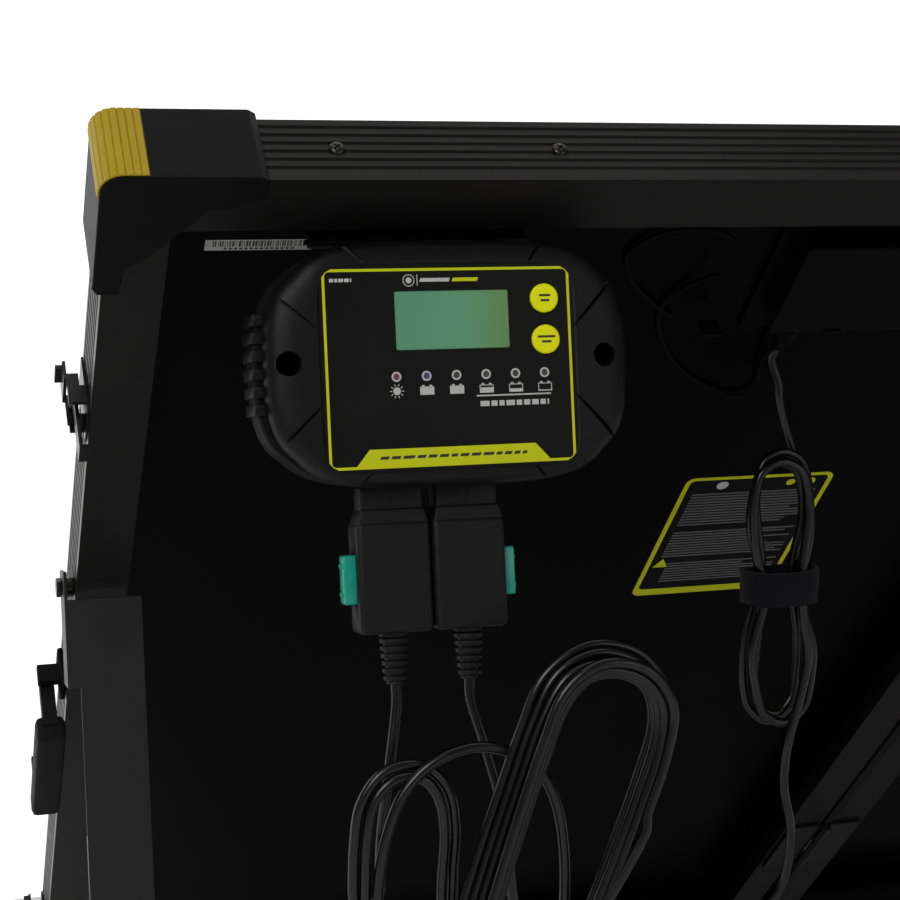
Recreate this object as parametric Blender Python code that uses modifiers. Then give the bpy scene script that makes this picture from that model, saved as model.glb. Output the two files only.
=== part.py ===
"""Folding solar suitcase: two framed panels hinged along one long side, standing open on fold-out legs.

Every half is modelled in one panel frame: t runs across the width, s down the slope from the top rail,
and h from the back of the frame (0) to the glass (T). Millimetres here, metres in the mesh.
"""
import bpy, bmesh, math
from mathutils import Matrix, Vector

for o in list(bpy.data.objects):
    bpy.data.objects.remove(o, do_unlink=True)

MM = 0.001
GAP = 0.3            # clearance between touching pieces

# ---- driving sizes, mm
T = 42.0             # frame depth
W = 668.0            # width of one half
L = 1030.0           # length of one half, along the slope
FOLD_GAP = 14.0      # between the two hinge rails when open
FL_TOP = 34.0        # back flange of the top and bottom rails
FL_SIDE = 31.0       # back flange of the side rails
WALL = 3.2           # rail wall
TILT = 45.0          # slope of the standing panel
PROUD = 5.0          # corner guard beyond the rails
BACK = 4.0           # corner guard beyond the back flange
GUARD = 74.0         # reach of a corner guard along the rails
ORIGIN_X = -669.5    # with ORIGIN_Y, puts the box's centre over the origin
ORIGIN_Y = -376.0
ORIGIN_Z = 734.72    # height of the frame's top back corner line
CTRL_TILT = 52.5     # controller face away from the back sheet
LEG_TILT = 52.5      # leg away from the frame
T_B = W + FOLD_GAP   # where the second half starts
T_ALL = 2 * W + FOLD_GAP

c45 = math.cos(math.radians(TILT))
s45 = math.sin(math.radians(TILT))


def frame_matrix(x, y, z, o):
    m = Matrix.Identity(4)
    for i, v in enumerate((x, y, z)):
        m[0][i], m[1][i], m[2][i] = v
    m[0][3], m[1][3], m[2][3] = o
    return m


PANEL = frame_matrix((1, 0, 0), (0, c45, -s45), (0, s45, c45),
                     (ORIGIN_X * MM, ORIGIN_Y * MM, ORIGIN_Z * MM))


def swung(s0, h0, angle):
    """Frame whose x is t, y runs down a piece swung out by angle, z runs back towards the glass."""
    a = math.radians(angle)
    down = (0, math.cos(a), -math.sin(a))
    back = (0, math.sin(a), math.cos(a))
    return PANEL @ frame_matrix((1, 0, 0), down, back, (0, s0 * MM, h0 * MM))


coll = bpy.data.collections.new("solar_suitcase")
cut_coll = bpy.data.collections.new("cutters")
for c in (coll, cut_coll):
    bpy.context.scene.collection.children.link(c)

MATS = {}
for name, col, rough, metal in [
    ("anodised_black", (0.020, 0.020, 0.022), 0.38, 0.85),
    ("guard_plastic", (0.016, 0.016, 0.017), 0.55, 0.0),
    ("back_sheet", (0.006, 0.006, 0.009), 0.30, 0.0),
    ("case_plastic", (0.013, 0.013, 0.014), 0.48, 0.0),
    ("cover_film", (0.007, 0.007, 0.009), 0.28, 0.0),
    ("display", (0.20, 0.30, 0.20), 0.20, 0.0),
    ("button_yellow", (0.80, 0.78, 0.06), 0.40, 0.0),
    ("board_green", (0.02, 0.16, 0.07), 0.50, 0.0),
    ("latch_green", (0.01, 0.42, 0.26), 0.35, 0.0),
    ("cord_black", (0.010, 0.010, 0.011), 0.42, 0.0),
    ("strap_black", (0.012, 0.012, 0.015), 0.95, 0.0),
    ("leg_paint", (0.055, 0.055, 0.060), 0.42, 0.6),
    ("steel", (0.45, 0.45, 0.46), 0.30, 1.0),
    ("grip_rubber", (0.014, 0.014, 0.014), 0.75, 0.0),
]:
    m = bpy.data.materials.new(name)
    m.use_nodes = True
    b = m.node_tree.nodes["Principled BSDF"]
    b.inputs["Base Color"].default_value = (*col, 1)
    b.inputs["Roughness"].default_value = rough
    b.inputs["Metallic"].default_value = metal
    MATS[name] = m


def add(name, me, matrix, mat, cutter=False):
    o = bpy.data.objects.new(name, me)
    (cut_coll if cutter else coll).objects.link(o)
    o.matrix_world = matrix
    if cutter:
        o.hide_render = True
        o.display_type = "WIRE"
    else:
        me.materials.clear()
        me.materials.append(MATS[mat])
    return o


def box_mesh(lo, hi, name="box"):
    bm = bmesh.new()
    size = [(b - a) * MM for a, b in zip(lo, hi)]
    mid = [(b + a) / 2 * MM for a, b in zip(lo, hi)]
    bmesh.ops.create_cube(bm, size=1.0, matrix=Matrix.Translation(mid) @ Matrix.Diagonal((*size, 1)))
    me = bpy.data.meshes.new(name)
    bm.to_mesh(me)
    bm.free()
    return me


def box(name, lo, hi, matrix, mat=None, bevel=0.0, cutter=False, segments=2):
    o = add(name, box_mesh(lo, hi, name), matrix, mat, cutter)
    if bevel:
        b = o.modifiers.new("bevel", "BEVEL")
        b.width = bevel * MM
        b.segments = segments
        b.limit_method = "ANGLE"
    return o


def cylinder(name, a, b, r, matrix, mat=None, cutter=False, sides=20, r2=None):
    """Round bar, or cone, from point a to point b."""
    a, b = Vector(a) * MM, Vector(b) * MM
    d = b - a
    bm = bmesh.new()
    bmesh.ops.create_cone(bm, cap_ends=True, segments=sides, radius1=r * MM,
                          radius2=(r if r2 is None else r2) * MM, depth=d.length)
    q = Vector((0, 0, 1)).rotation_difference(d)
    bmesh.ops.transform(bm, matrix=Matrix.Translation((a + b) / 2) @ q.to_matrix().to_4x4(), verts=bm.verts)
    me = bpy.data.meshes.new(name)
    bm.to_mesh(me)
    bm.free()
    return add(name, me, matrix, mat, cutter)


def outline(name, pts, z0, z1, matrix, mat=None, cutter=False):
    """Closed flat outline in the frame's x and y, from z0 to z1: a filled 2D curve made a mesh."""
    cu = bpy.data.curves.new(name, "CURVE")
    cu.dimensions = "2D"
    cu.fill_mode = "BOTH"
    cu.extrude = abs(z1 - z0) / 2 * MM
    sp = cu.splines.new("POLY")
    sp.points.add(len(pts) - 1)
    for p, q in zip(sp.points, pts):
        p.co = (q[0] * MM, q[1] * MM, 0, 1)
    sp.use_cyclic_u = True
    tmp = bpy.data.objects.new(name + "_curve", cu)
    bpy.context.scene.collection.objects.link(tmp)
    dg = bpy.context.evaluated_depsgraph_get()
    me = bpy.data.meshes.new_from_object(tmp.evaluated_get(dg))
    bpy.data.objects.remove(tmp, do_unlink=True)
    bm = bmesh.new()
    bm.from_mesh(me)
    bmesh.ops.remove_doubles(bm, verts=bm.verts, dist=1e-6)
    bmesh.ops.translate(bm, verts=bm.verts, vec=(0, 0, (z0 + z1) / 2 * MM))
    bmesh.ops.recalc_face_normals(bm, faces=bm.faces)
    bm.to_mesh(me)
    bm.free()
    me.name = name
    return add(name, me, matrix, mat, cutter)


def boolean(o, other, op="DIFFERENCE", hide=True):
    m = o.modifiers.new(op.lower(), "BOOLEAN")
    m.operation = op
    m.solver = "EXACT"
    m.object = other
    if other.name not in cut_coll.objects and hide:
        coll.objects.unlink(other)
        cut_coll.objects.link(other)
        other.hide_render = True
        other.display_type = "WIRE"
    return o


def tube(name, pts, dia, matrix, mat, res=2):
    """A cord along world points, mm."""
    cu = bpy.data.curves.new(name, "CURVE")
    cu.dimensions = "3D"
    cu.bevel_depth = dia / 2 * MM
    cu.bevel_resolution = res
    cu.use_fill_caps = True
    sp = cu.splines.new("POLY")
    sp.points.add(len(pts) - 1)
    for p, q in zip(sp.points, pts):
        p.co = (q[0] * MM, q[1] * MM, q[2] * MM, 1)
    o = bpy.data.objects.new(name, cu)
    coll.objects.link(o)
    o.matrix_world = matrix
    cu.materials.append(MATS[mat])
    return o


def smooth_route(ctrl, step):
    """Even points, step apart, on a Catmull-Rom curve through the control points."""
    P = [Vector(p) for p in ctrl]
    P = [P[0] * 2 - P[1]] + P + [P[-1] * 2 - P[-2]]
    dense = []
    for i in range(1, len(P) - 2):
        a, b, c, d = P[i - 1], P[i], P[i + 1], P[i + 2]
        for k in range(24):
            u = k / 24
            dense.append(0.5 * (2 * b + (c - a) * u + (2 * a - 5 * b + 4 * c - d) * u * u
                                + (3 * b - a - 3 * c + d) * u ** 3))
    dense.append(P[-2])
    acc = [0.0]
    for a, b in zip(dense, dense[1:]):
        acc.append(acc[-1] + (b - a).length)
    n = max(2, round(acc[-1] / step))
    out, j = [], 0
    for i in range(n + 1):
        target = acc[-1] * i / n
        while j < len(acc) - 2 and acc[j + 1] < target:
            j += 1
        f = (target - acc[j]) / max(1e-9, acc[j + 1] - acc[j])
        out.append(dense[j].lerp(dense[j + 1], min(1, max(0, f))))
    return out


# ---- rails: one extruded section, with long grooves down its outer face
def rail_section(flange):
    pts = [(0, 0), (flange, 0), (flange, 2.0), (WALL, 2.0), (WALL, 31.0), (9, 31.0), (9, 33.0),
           (WALL, 33.0), (WALL, 38.6), (9, 38.6), (9, T), (0, T)]
    h, n = T - 4.0, 6
    pitch = (T - 8.0) / n
    for i in range(n):
        a = h - i * pitch
        pts += [(0, a), (1.0, a - 0.7), (1.0, a - pitch * 0.45), (0, a - pitch * 0.45 - 0.7)]
    return pts


def rail(name, side, t0, t1, s0, s1):
    """side says which outer edge the rail makes: top, bottom, left or right."""
    if side in ("top", "bottom"):
        sec, length, start = rail_section(FL_TOP), t1 - t0, t0
        if side == "top":
            m = frame_matrix((0, 1, 0), (0, 0, 1), (1, 0, 0), (0, s0 * MM, 0))
        else:
            m = frame_matrix((0, -1, 0), (0, 0, 1), (-1, 0, 0), (0, s1 * MM, 0))
            start = -t1
    else:
        sec, length, start = rail_section(FL_SIDE), s1 - s0, s0
        if side == "left":
            m = frame_matrix((1, 0, 0), (0, 0, 1), (0, -1, 0), (t0 * MM, 0, 0))
            start = -s1
        else:
            m = frame_matrix((-1, 0, 0), (0, 0, 1), (0, 1, 0), (t1 * MM, 0, 0))
    return outline(name, sec, start, start + length, PANEL @ m, "anodised_black")


def half(prefix, t0, left, right):
    t1 = t0 + W
    rail(prefix + "_top_rail", "top", t0, t1, 0, L)
    rail(prefix + "_bottom_rail", "bottom", t0, t1, 0, L)
    e = FL_TOP + GAP
    # side rails fill the length; their ends are notched round the top and bottom flanges
    for nm, side in ((left, "left"), (right, "right")):
        o = rail(prefix + "_" + nm, side, t0, t1, WALL + GAP, L - WALL - GAP)
        for k, (a, b) in enumerate(((-5, e), (L - e, L + 5))):
            cut = box(f"cut_{prefix}_{nm}_{k}a", (t0 - 5, a, -5), (t1 + 5, b, 2 + GAP), PANEL, cutter=True)
            boolean(o, cut)
            a2, b2 = ((-5, 9 + GAP) if k == 0 else (L - 9 - GAP, L + 5))
            cut = box(f"cut_{prefix}_{nm}_{k}b", (t0 - 5, a2, 31 - GAP), (t1 + 5, b2, T + 5), PANEL, cutter=True)
            boolean(o, cut)
    box(prefix + "_laminate", (t0 + WALL + GAP, WALL + GAP, 33 + GAP), (t1 - WALL - GAP, L - WALL - GAP, 38.6 - GAP),
        PANEL, "back_sheet")


half("a", 0, "latch_rail", "hinge_rail")
half("b", T_B, "hinge_rail", "keeper_rail")


# ---- corner guards: a shell over the top, side, back and glass edges of each frame corner
def guard(name, ct, cs, st, ss):
    """ct, cs is the frame corner; st, ss are +1 or -1 towards the inside of the half."""
    P, R, G = PROUD, 11.0, GUARD
    arc = []
    for i in range(6):
        a = math.pi + i / 5 * math.pi / 2
        arc.append((-P + R + R * math.cos(a), -P + R + R * math.sin(a)))
    pts = arc + [(G - 4, -P), (G, -P + 2.5), (G, 9), (56, 16), (48, 16), (22, 46), (20, 48), (10, 56),
                 (8, G), (-P + 2.5, G), (-P, G - 4)]
    pts = [(ct + st * x, cs + ss * y) for x, y in pts]
    o = outline(name, pts, -BACK, T + 2.0, PANEL, "guard_plastic")
    lo = (ct - GAP if st > 0 else ct - 200, cs - GAP if ss > 0 else cs - 200, -GAP)
    hi = (ct + 200 if st > 0 else ct + GAP, cs + 200 if ss > 0 else cs + GAP, T + GAP)
    boolean(o, box("cut_" + name, lo, hi, PANEL, cutter=True))
    # the glass side keeps only a narrow lip
    f = 12.0
    lo = (ct + f if st > 0 else ct - 200, cs + f if ss > 0 else cs - 200, T - 1)
    hi = (ct + 200 if st > 0 else ct - f, cs + 200 if ss > 0 else cs - f, T + 9)
    boolean(o, box("cut_glass_" + name, lo, hi, PANEL, cutter=True))
    return o


for pre, t0, lname, rname in (("a", 0, "latch", "hinge"), ("b", T_B, "hinge", "keeper")):
    guard(f"{pre}_guard_top_{lname}", t0, 0, 1, 1)
    guard(f"{pre}_guard_top_{rname}", t0 + W, 0, -1, 1)
    guard(f"{pre}_guard_bottom_{lname}", t0, L, 1, -1)
    guard(f"{pre}_guard_bottom_{rname}", t0 + W, L, -1, -1)

# ---- fold hinges on the backs of the two hinge rails
AX_T, AX_H = W + FOLD_GAP / 2, -BACK
for nm, sc in (("upper", 210.0), ("lower", L - 210.0)):
    half_len = 38.0
    for pre, sgn in (("a", -1), ("b", 1)):
        o = box(f"fold_hinge_{pre}_{nm}", (min(AX_T + sgn * 3.0, AX_T + sgn * 34), sc - half_len, -2.6),
                (max(AX_T + sgn * 3.0, AX_T + sgn * 34), sc + half_len, -GAP), PANEL, "steel")
        # knuckles: the first half has the outer two, with the pin; the second half has the middle one
        spans = ((sc - half_len, sc - 13.0), (sc + 13.0, sc + half_len)) if pre == "a" else ((sc - 12.4, sc + 12.4),)
        slot_r = 4.6
        for k, (a, b) in enumerate(((sc - 12.7, sc + 12.7),) if pre == "a" else
                                   ((sc - half_len - 1, sc - 12.7), (sc + 12.7, sc + half_len + 1))):
            boolean(o, cylinder(f"cut_{pre}_{nm}_slot{k}", (AX_T, a, AX_H), (AX_T, b, AX_H), slot_r, PANEL, cutter=True))
        for k, (a, b) in enumerate(spans):
            boolean(o, cylinder(f"cut_{pre}_{nm}_knuckle{k}", (AX_T, a, AX_H), (AX_T, b, AX_H), 3.7, PANEL, "steel"),
                    "UNION")
        if pre == "a":
            boolean(o, cylinder(f"cut_{pre}_{nm}_pin", (AX_T, sc - half_len - 2, AX_H), (AX_T, sc + half_len + 2, AX_H),
                                1.5, PANEL, "steel", sides=16), "UNION")
        else:
            boolean(o, cylinder(f"cut_{pre}_{nm}_bore", (AX_T, sc - 20, AX_H), (AX_T, sc + 20, AX_H),
                                1.85, PANEL, cutter=True, sides=16))

# ---- junction boxes on the back sheets
SHEET = 33 + GAP
JB_T, JB_S = 391.0, 69.0


def junction_box(name, t0, s0, width, height):
    o = box(name, (t0 - 12, s0 - 5, SHEET - GAP - 3.0), (t0 + width + 12, s0 + height + 12, SHEET - GAP), PANEL, "case_plastic")
    up = box("cut_" + name, (t0, s0, SHEET - 14.0), (t0 + width, s0 + height, SHEET - 2.0), PANEL, "case_plastic", bevel=2.0)
    boolean(o, up, "UNION")
    return o


JB_W, JB_H = 112.0, 67.0
o = junction_box("junction_box", JB_T, JB_S, JB_W, JB_H)
GLAND_T, GLAND_H = 407.0, SHEET - 8.5
boolean(o, cylinder("cut_gland", (GLAND_T, JB_S + JB_H - 3, GLAND_H), (GLAND_T, JB_S + JB_H + 24, GLAND_H), 5.4, PANEL,
                    "case_plastic", sides=16, r2=4.0), "UNION")
box("junction_box_lid", (JB_T - 1.5, JB_S - 1.5, SHEET - 19.0), (JB_T + JB_W + 1.5, JB_S + JB_H + 1.5, SHEET - 14.0 - GAP),
    PANEL, "case_plastic", bevel=1.6)
junction_box("b_junction_box", T_ALL - JB_T - JB_W, JB_S, JB_W, JB_H)

# ---- charge controller: hangs from a hinge under the top rail
HINGE_S, HINGE_H = 54.8, 12.1
CT = 160.9                       # controller centre across the panel
CTRL = swung(HINGE_S, HINGE_H, CTRL_TILT)
# in this frame x is t, y runs down the face, z points back towards the sheet, so the face is at negative z
CW, CH, C_TOP, C_BACK, C_SPLIT, C_FACE = 190.0, 118.5, 6.0, -4.0, -22.0, -42.0


def case_outline(grow=0.0, ear=True):
    """Rounded case with two side ears, in the controller frame."""
    w, h = CW / 2 - 8 + grow, CH / 2 + grow
    cy = C_TOP + CH / 2
    r = 18.0
    pts = []
    for sx, sy, a0 in ((1, 1, 0), (-1, 1, 90), (-1, -1, 180), (1, -1, 270)):
        if ear and sx == 1 and sy == 1:
            pts += [(CT + w, cy - 30), (CT + w + 7, cy - 22), (CT + w + 8, cy), (CT + w + 7, cy + 22), (CT + w, cy + 30)]
        if ear and sx == -1 and sy == -1:
            pts += [(CT - w, cy + 30), (CT - w - 7, cy + 22), (CT - w - 8, cy), (CT - w - 7, cy - 22), (CT - w, cy - 30)]
        for k in range(4):
            a = math.radians(a0 + k * 30)
            pts.append((CT + sx * (w - r) + r * math.cos(a), cy + sy * (h - r) + r * math.sin(a)))
    return pts


rear = outline("controller_rear_case", case_outline(-2.0), C_SPLIT + GAP, C_BACK, CTRL, "case_plastic")
inner = outline("cut_rear_inside", case_outline(-7.0, ear=False), C_SPLIT - 1, C_BACK - 3.0, CTRL, cutter=True)
boolean(rear, inner)
front = outline("controller_front_cover", case_outline(0.0), C_FACE, C_SPLIT, CTRL, "case_plastic")
boolean(front, outline("cut_front_inside", case_outline(-7.0, ear=False), C_FACE + 3.0, C_SPLIT + 1, CTRL, cutter=True))
# openings in the face for the display and the two buttons
CY = C_TOP + CH / 2


def face_box(name, x0, x1, y0, y1, z0, z1, mat=None, **k):
    return box(name, (CT + x0, CY + y0, z0), (CT + x1, CY + y1, z1), CTRL, mat, **k)


D_X0, D_X1, D_Y0, D_Y1 = -26.5, 33.5, -37.0, -6.6
boolean(front, face_box("cut_display", D_X0, D_X1, D_Y0, D_Y1, C_FACE - 1, C_FACE + 4, cutter=True))
face_box("display_window", D_X0 + GAP, D_X1 - GAP, D_Y0 + GAP, D_Y1 - GAP, C_FACE + 0.6, C_FACE + 2.6, "display")
BTN_X, BTN_R = 51.5, 7.3
BTN_Y = {"display_button": -31.5, "battery_button": -11.0}
for nm, by in BTN_Y.items():
    boolean(front, cylinder("cut_" + nm, (CT + BTN_X, CY + by, C_FACE - 1), (CT + BTN_X, CY + by, C_FACE + 4), BTN_R + 0.35,
                            CTRL, cutter=True, sides=24))
    b = cylinder(nm, (CT + BTN_X, CY + by, C_FACE - 1.0), (CT + BTN_X, CY + by, C_FACE + 6.0), BTN_R, CTRL, "button_yellow", sides=24)
    boolean(b, cylinder("cut_flange_" + nm, (CT + BTN_X, CY + by, C_FACE + 3.0 + GAP + 0.2), (CT + BTN_X, CY + by, C_FACE + 6.0),
                        BTN_R + 1.2, CTRL, "button_yellow", sides=24), "UNION")
box("circuit_board", (CT - 68, CY - 46, -27.0), (CT + 68, CY + 46, -25.4), CTRL, "board_green")
# sockets for the two plugs in the lower edge of the rear case
PLUG_X = {"battery": -26.5, "panel": 12.5}
PLUG_Z = -15.0
BOT = C_TOP + CH - 2
for nm, px in PLUG_X.items():
    boolean(rear, box(f"cut_socket_{nm}", (CT + px - 16.5, BOT - 8, PLUG_Z - 5.5 - 1.2), (CT + px + 16.5, BOT + 5, PLUG_Z + 5.5 + 1.2), CTRL, cutter=True))
for nm, px in PLUG_X.items():
    x, side = CT + px, (-1 if nm == "battery" else 1)
    neck = box(nm + "_plug", (x - 15.8, BOT - 5.5, PLUG_Z - 6), (x + 15.8, BOT + 19, PLUG_Z + 6), CTRL, "case_plastic")
    hood = box(f"cut_{nm}_hood", (x - 18.5, BOT + 18, PLUG_Z - 10), (x + 18.5, BOT + 74, PLUG_Z + 10), CTRL, "case_plastic", bevel=2.5)
    boolean(neck, hood, "UNION")
    relief = cylinder(f"cut_{nm}_relief", (x, BOT + 73, PLUG_Z), (x, BOT + 97, PLUG_Z), 6.6, CTRL, "case_plastic", sides=16, r2=4.2)
    boolean(neck, relief, "UNION")
    # pocket and thumb latch on the outer side
    e = x + side * 18.5
    pk = sorted((e - side * 7, e + side * 3))
    boolean(neck, box(f"cut_{nm}_pocket", (pk[0], BOT + 34, PLUG_Z - 5), (pk[1], BOT + 60, PLUG_Z + 5), CTRL, cutter=True))
    tb = sorted((e - side * 3.5, e + side * 6.5))
    box(nm + "_plug_latch", (tb[0], BOT + 34.6, PLUG_Z - 4.4), (tb[1], BOT + 59.4, PLUG_Z + 4.4), CTRL, "latch_green", bevel=0.8, segments=1)

# hinge under the top rail: a fixed bracket on the rail, and a leaf on the controller's back
br = box("controller_bracket", (CT - 58, WALL + GAP, 2 + GAP), (CT + 58, WALL + GAP + 2.0, 26), PANEL, "anodised_black")
arm = box("cut_bracket_arm", (CT - 58, WALL + GAP, 24), (CT + 58, HINGE_S + 1.5, 26), PANEL, "anodised_black")
boolean(br, arm, "UNION")
drop = box("cut_bracket_drop", (CT - 58, HINGE_S - 0.5, HINGE_H + 1), (CT + 58, HINGE_S + 1.5, 25), PANEL, "anodised_black")
boolean(br, drop, "UNION")
for k, (a, b) in enumerate(((-58, -24.5), (24.5, 58))):
    boolean(br, cylinder(f"cut_bracket_knuckle{k}", (CT + a, HINGE_S, HINGE_H), (CT + b, HINGE_S, HINGE_H), 3.2, PANEL, "anodised_black"), "UNION")
boolean(br, box("cut_bracket_window", (CT - 24, HINGE_S - 4, HINGE_H - 6), (CT + 24, HINGE_S + 4, HINGE_H + 4.2), PANEL, cutter=True))
boolean(br, cylinder("cut_bracket_pin", (CT - 60, HINGE_S, HINGE_H), (CT + 60, HINGE_S, HINGE_H), 1.4, PANEL, "steel", sides=16), "UNION")
leaf = box("controller_hinge_leaf", (CT - 22, 0.0, C_BACK + GAP), (CT + 22, 46, C_BACK + GAP + 1.8), CTRL, "anodised_black")
boolean(leaf, cylinder("cut_leaf_knuckle", (CT - 23.5, 0, 0), (CT + 23.5, 0, 0), 3.2, CTRL, "anodised_black"), "UNION")
boolean(leaf, cylinder("cut_leaf_bore", (CT - 40, 0, 0), (CT + 40, 0, 0), 1.75, CTRL, cutter=True, sides=16))

# ---- fold-out legs on the outer side rails
PIV_S, PIV_H, PLATE, LEG_LEN = 348.0, 10.0, 13.5, 501.55


def leg(name, t_edge, sgn):
    """sgn is +1 where the half lies at larger t than its outer edge."""
    M = swung(PIV_S, PIV_H, LEG_TILT)

    def b(nm, x0, x1, y0, y1, z0, z1, **k):
        xs = sorted((t_edge + sgn * x0, t_edge + sgn * x1))
        return box(nm, (xs[0], y0, z0), (xs[1], y1, z1), M, "leg_paint", **k)
    o = b(name, 0.6, 39, 40, LEG_LEN, -PLATE - 0.6, -PLATE + 1.4)
    boolean(o, b(f"cut_{name}_head", -7, 39, 7, 60, -PLATE - 0.6, -PLATE + 1.4), "UNION")
    boolean(o, b(f"cut_{name}_ear", -7, -5, -10, 60, -PLATE - 0.6, 11), "UNION")
    boolean(o, b(f"cut_{name}_lip", 37, 39, 12, LEG_LEN - 8, -PLATE - 0.6, -PLATE + 12), "UNION")
    boolean(o, b(f"cut_{name}_lip2", 0.6, 2.6, 150, LEG_LEN - 8, -PLATE - 0.6, -PLATE + 6), "UNION")
    xs = sorted((t_edge + sgn * -12, t_edge + sgn * -3))
    boolean(o, cylinder(f"cut_{name}_hole", (xs[0], 0, 0), (xs[1], 0, 0), 3.4, M, cutter=True, sides=16))
    # bolt: collar between rail and ear, shank, and head outside
    x = lambda v: t_edge + sgn * v
    bolt = cylinder("leg_bolt_" + name[-1], (x(-GAP), PIV_S, PIV_H), (x(-4.7), PIV_S, PIV_H), 6.0, PANEL, "steel")
    boolean(bolt, cylinder(f"cut_{name}_shank", (x(-3), PIV_S, PIV_H), (x(-9), PIV_S, PIV_H), 3.0, PANEL, "steel", sides=16), "UNION")
    boolean(bolt, cylinder(f"cut_{name}_head2", (x(-7.3), PIV_S, PIV_H), (x(-10.5), PIV_S, PIV_H), 6.0, PANEL, "steel", sides=6), "UNION")
    return o


leg("leg_a", 0, 1)
leg("leg_b", T_ALL, -1)

# ---- carrying handle on the latch rail
HC = L / 2
HB = 54.0
PIN_H = 14.0          # handle pins, above the back of the frame
for nm, sgn in (("upper", -1), ("lower", 1)):
    s = HC + sgn * HB
    o = box("handle_bracket_" + nm, (-4 - GAP, s - 11, 4), (-GAP, s + 11, 32), PANEL, "case_plastic", bevel=1.2, segments=1)
    boolean(o, box(f"cut_hb_{nm}", (-18, s + sgn * 3.5, PIN_H - 6.5), (-3, s + sgn * 9.5, PIN_H + 6.5), PANEL, "case_plastic"), "UNION")
    boolean(o, cylinder(f"cut_hbp_{nm}", (-12, s + sgn * 4, PIN_H), (-12, s - sgn * 7, PIN_H), 3.0, PANEL, "steel", sides=16), "UNION")
ys, ye = HC - HB - 1.5, HC + HB + 1.5
# x runs out along the hanging grip, y down the slope, from the pin line
HANG = PANEL @ frame_matrix((0, 0, -1), (0, 1, 0), (1, 0, 0), (-12 * MM, 0, PIN_H * MM))
grip = outline("handle_grip", [(-4.4, ys), (34, ys), (34, ye), (-4.4, ye), (-4.4, ye - 10.5), (29, ye - 10.5),
                               (29, ys + 10.5), (-4.4, ys + 10.5)], -4.6, 4.6, HANG, "grip_rubber")
boolean(grip, box("cut_grip_bar", (26, ys + 1.1, -9.5), (43, ye - 1.1, 9.5), HANG, "grip_rubber", bevel=4.0), "UNION")
boolean(grip, cylinder("cut_grip_bore", (0, HC - HB - 20, 0), (0, HC + HB + 20, 0), 3.35, HANG, cutter=True, sides=16))

# ---- toggle latches on the latch rail, keepers on the other half
LATCH_S = {"upper": 183.0, "lower": L - 183.0}
for nm, s in LATCH_S.items():
    base = box("latch_base_" + nm, (-1.2 - GAP, s - 13, 2), (-GAP, s + 13, 40), PANEL, "steel")
    for k, y in enumerate((s - 13, s + 11)):
        boolean(base, box(f"cut_lb_{nm}{k}", (-9, y, 8), (-1, y + 2, 20), PANEL, "steel"), "UNION")
        boolean(base, cylinder(f"cut_lbp_{nm}{k}", (-6, (y + 0.5 if k == 0 else y + 1.5), 14),
                               (-6, (s - 8 if k == 0 else s + 8), 14), 1.4, PANEL, "steel", sides=12), "UNION")
    lever = box("latch_lever_" + nm, (-11.5, s - 10, 27), (-9.7, s + 10, 40), PANEL, "steel")
    for k, y in enumerate((s - 10, s + 8.2)):
        boolean(lever, box(f"cut_ll_{nm}{k}", (-10.2, y, 10.8), (-3.6, y + 1.8, 31), PANEL, "steel"), "UNION")
    boolean(lever, box(f"cut_llt_{nm}", (-15, s - 6, 38), (-9.9, s + 6, 40.6), PANEL, "steel"), "UNION")
    boolean(lever, cylinder(f"cut_llh_{nm}", (-6, s - 20, 14), (-6, s + 20, 14), 1.65, PANEL, cutter=True, sides=12))
    boolean(lever, cylinder(f"cut_llp_{nm}", (-6, s - 9, 22), (-6, s + 9, 22), 1.2, PANEL, "steel", sides=12), "UNION")
    bail = cylinder("latch_bail_" + nm, (-6, s - 6.5, 22), (-6, s + 6.5, 22), 2.7, PANEL, "steel", sides=16)
    boolean(bail, box(f"cut_bb_{nm}", (-7, s - 6.2, -17), (-5, s + 6.2, 21), PANEL, "steel"), "UNION")
    boolean(bail, box(f"cut_bh_{nm}", (-6.8, s - 5.9, -17.4), (-2.4, s + 5.9, -14.8), PANEL, "steel"), "UNION")
    boolean(bail, cylinder(f"cut_bhole_{nm}", (-6, s - 20, 22), (-6, s + 20, 22), 1.5, PANEL, cutter=True, sides=12))
    k_ = box("latch_keeper_" + nm, (T_ALL + GAP, s - 10, 4), (T_ALL + 2 + GAP, s + 10, 30), PANEL, "steel")
    boolean(k_, box(f"cut_kh_{nm}", (T_ALL + 1, s - 7, 3.8), (T_ALL + 6, s + 7, 6), PANEL, "steel"), "UNION")

# ---- leads: all hang free below their exits
CORD = 5.6


def at(matrix, x, y, z):
    v = matrix @ (Vector((x, y, z)) * MM)
    return v / MM


I4 = Matrix.Identity(4)
exit_battery = at(CTRL, CT + PLUG_X["battery"], BOT + 97, PLUG_Z)
exit_panel = at(CTRL, CT + PLUG_X["panel"], BOT + 97, PLUG_Z)
exit_jbox = at(PANEL, GLAND_T, JB_S + JB_H + 24, GLAND_H)
down_ctrl = (CTRL.to_3x3() @ Vector((0, 1, 0))).normalized()
down_sheet = (PANEL.to_3x3() @ Vector((0, 1, 0))).normalized()
print("EXITS", exit_battery[:], exit_panel[:], exit_jbox[:])

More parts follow.
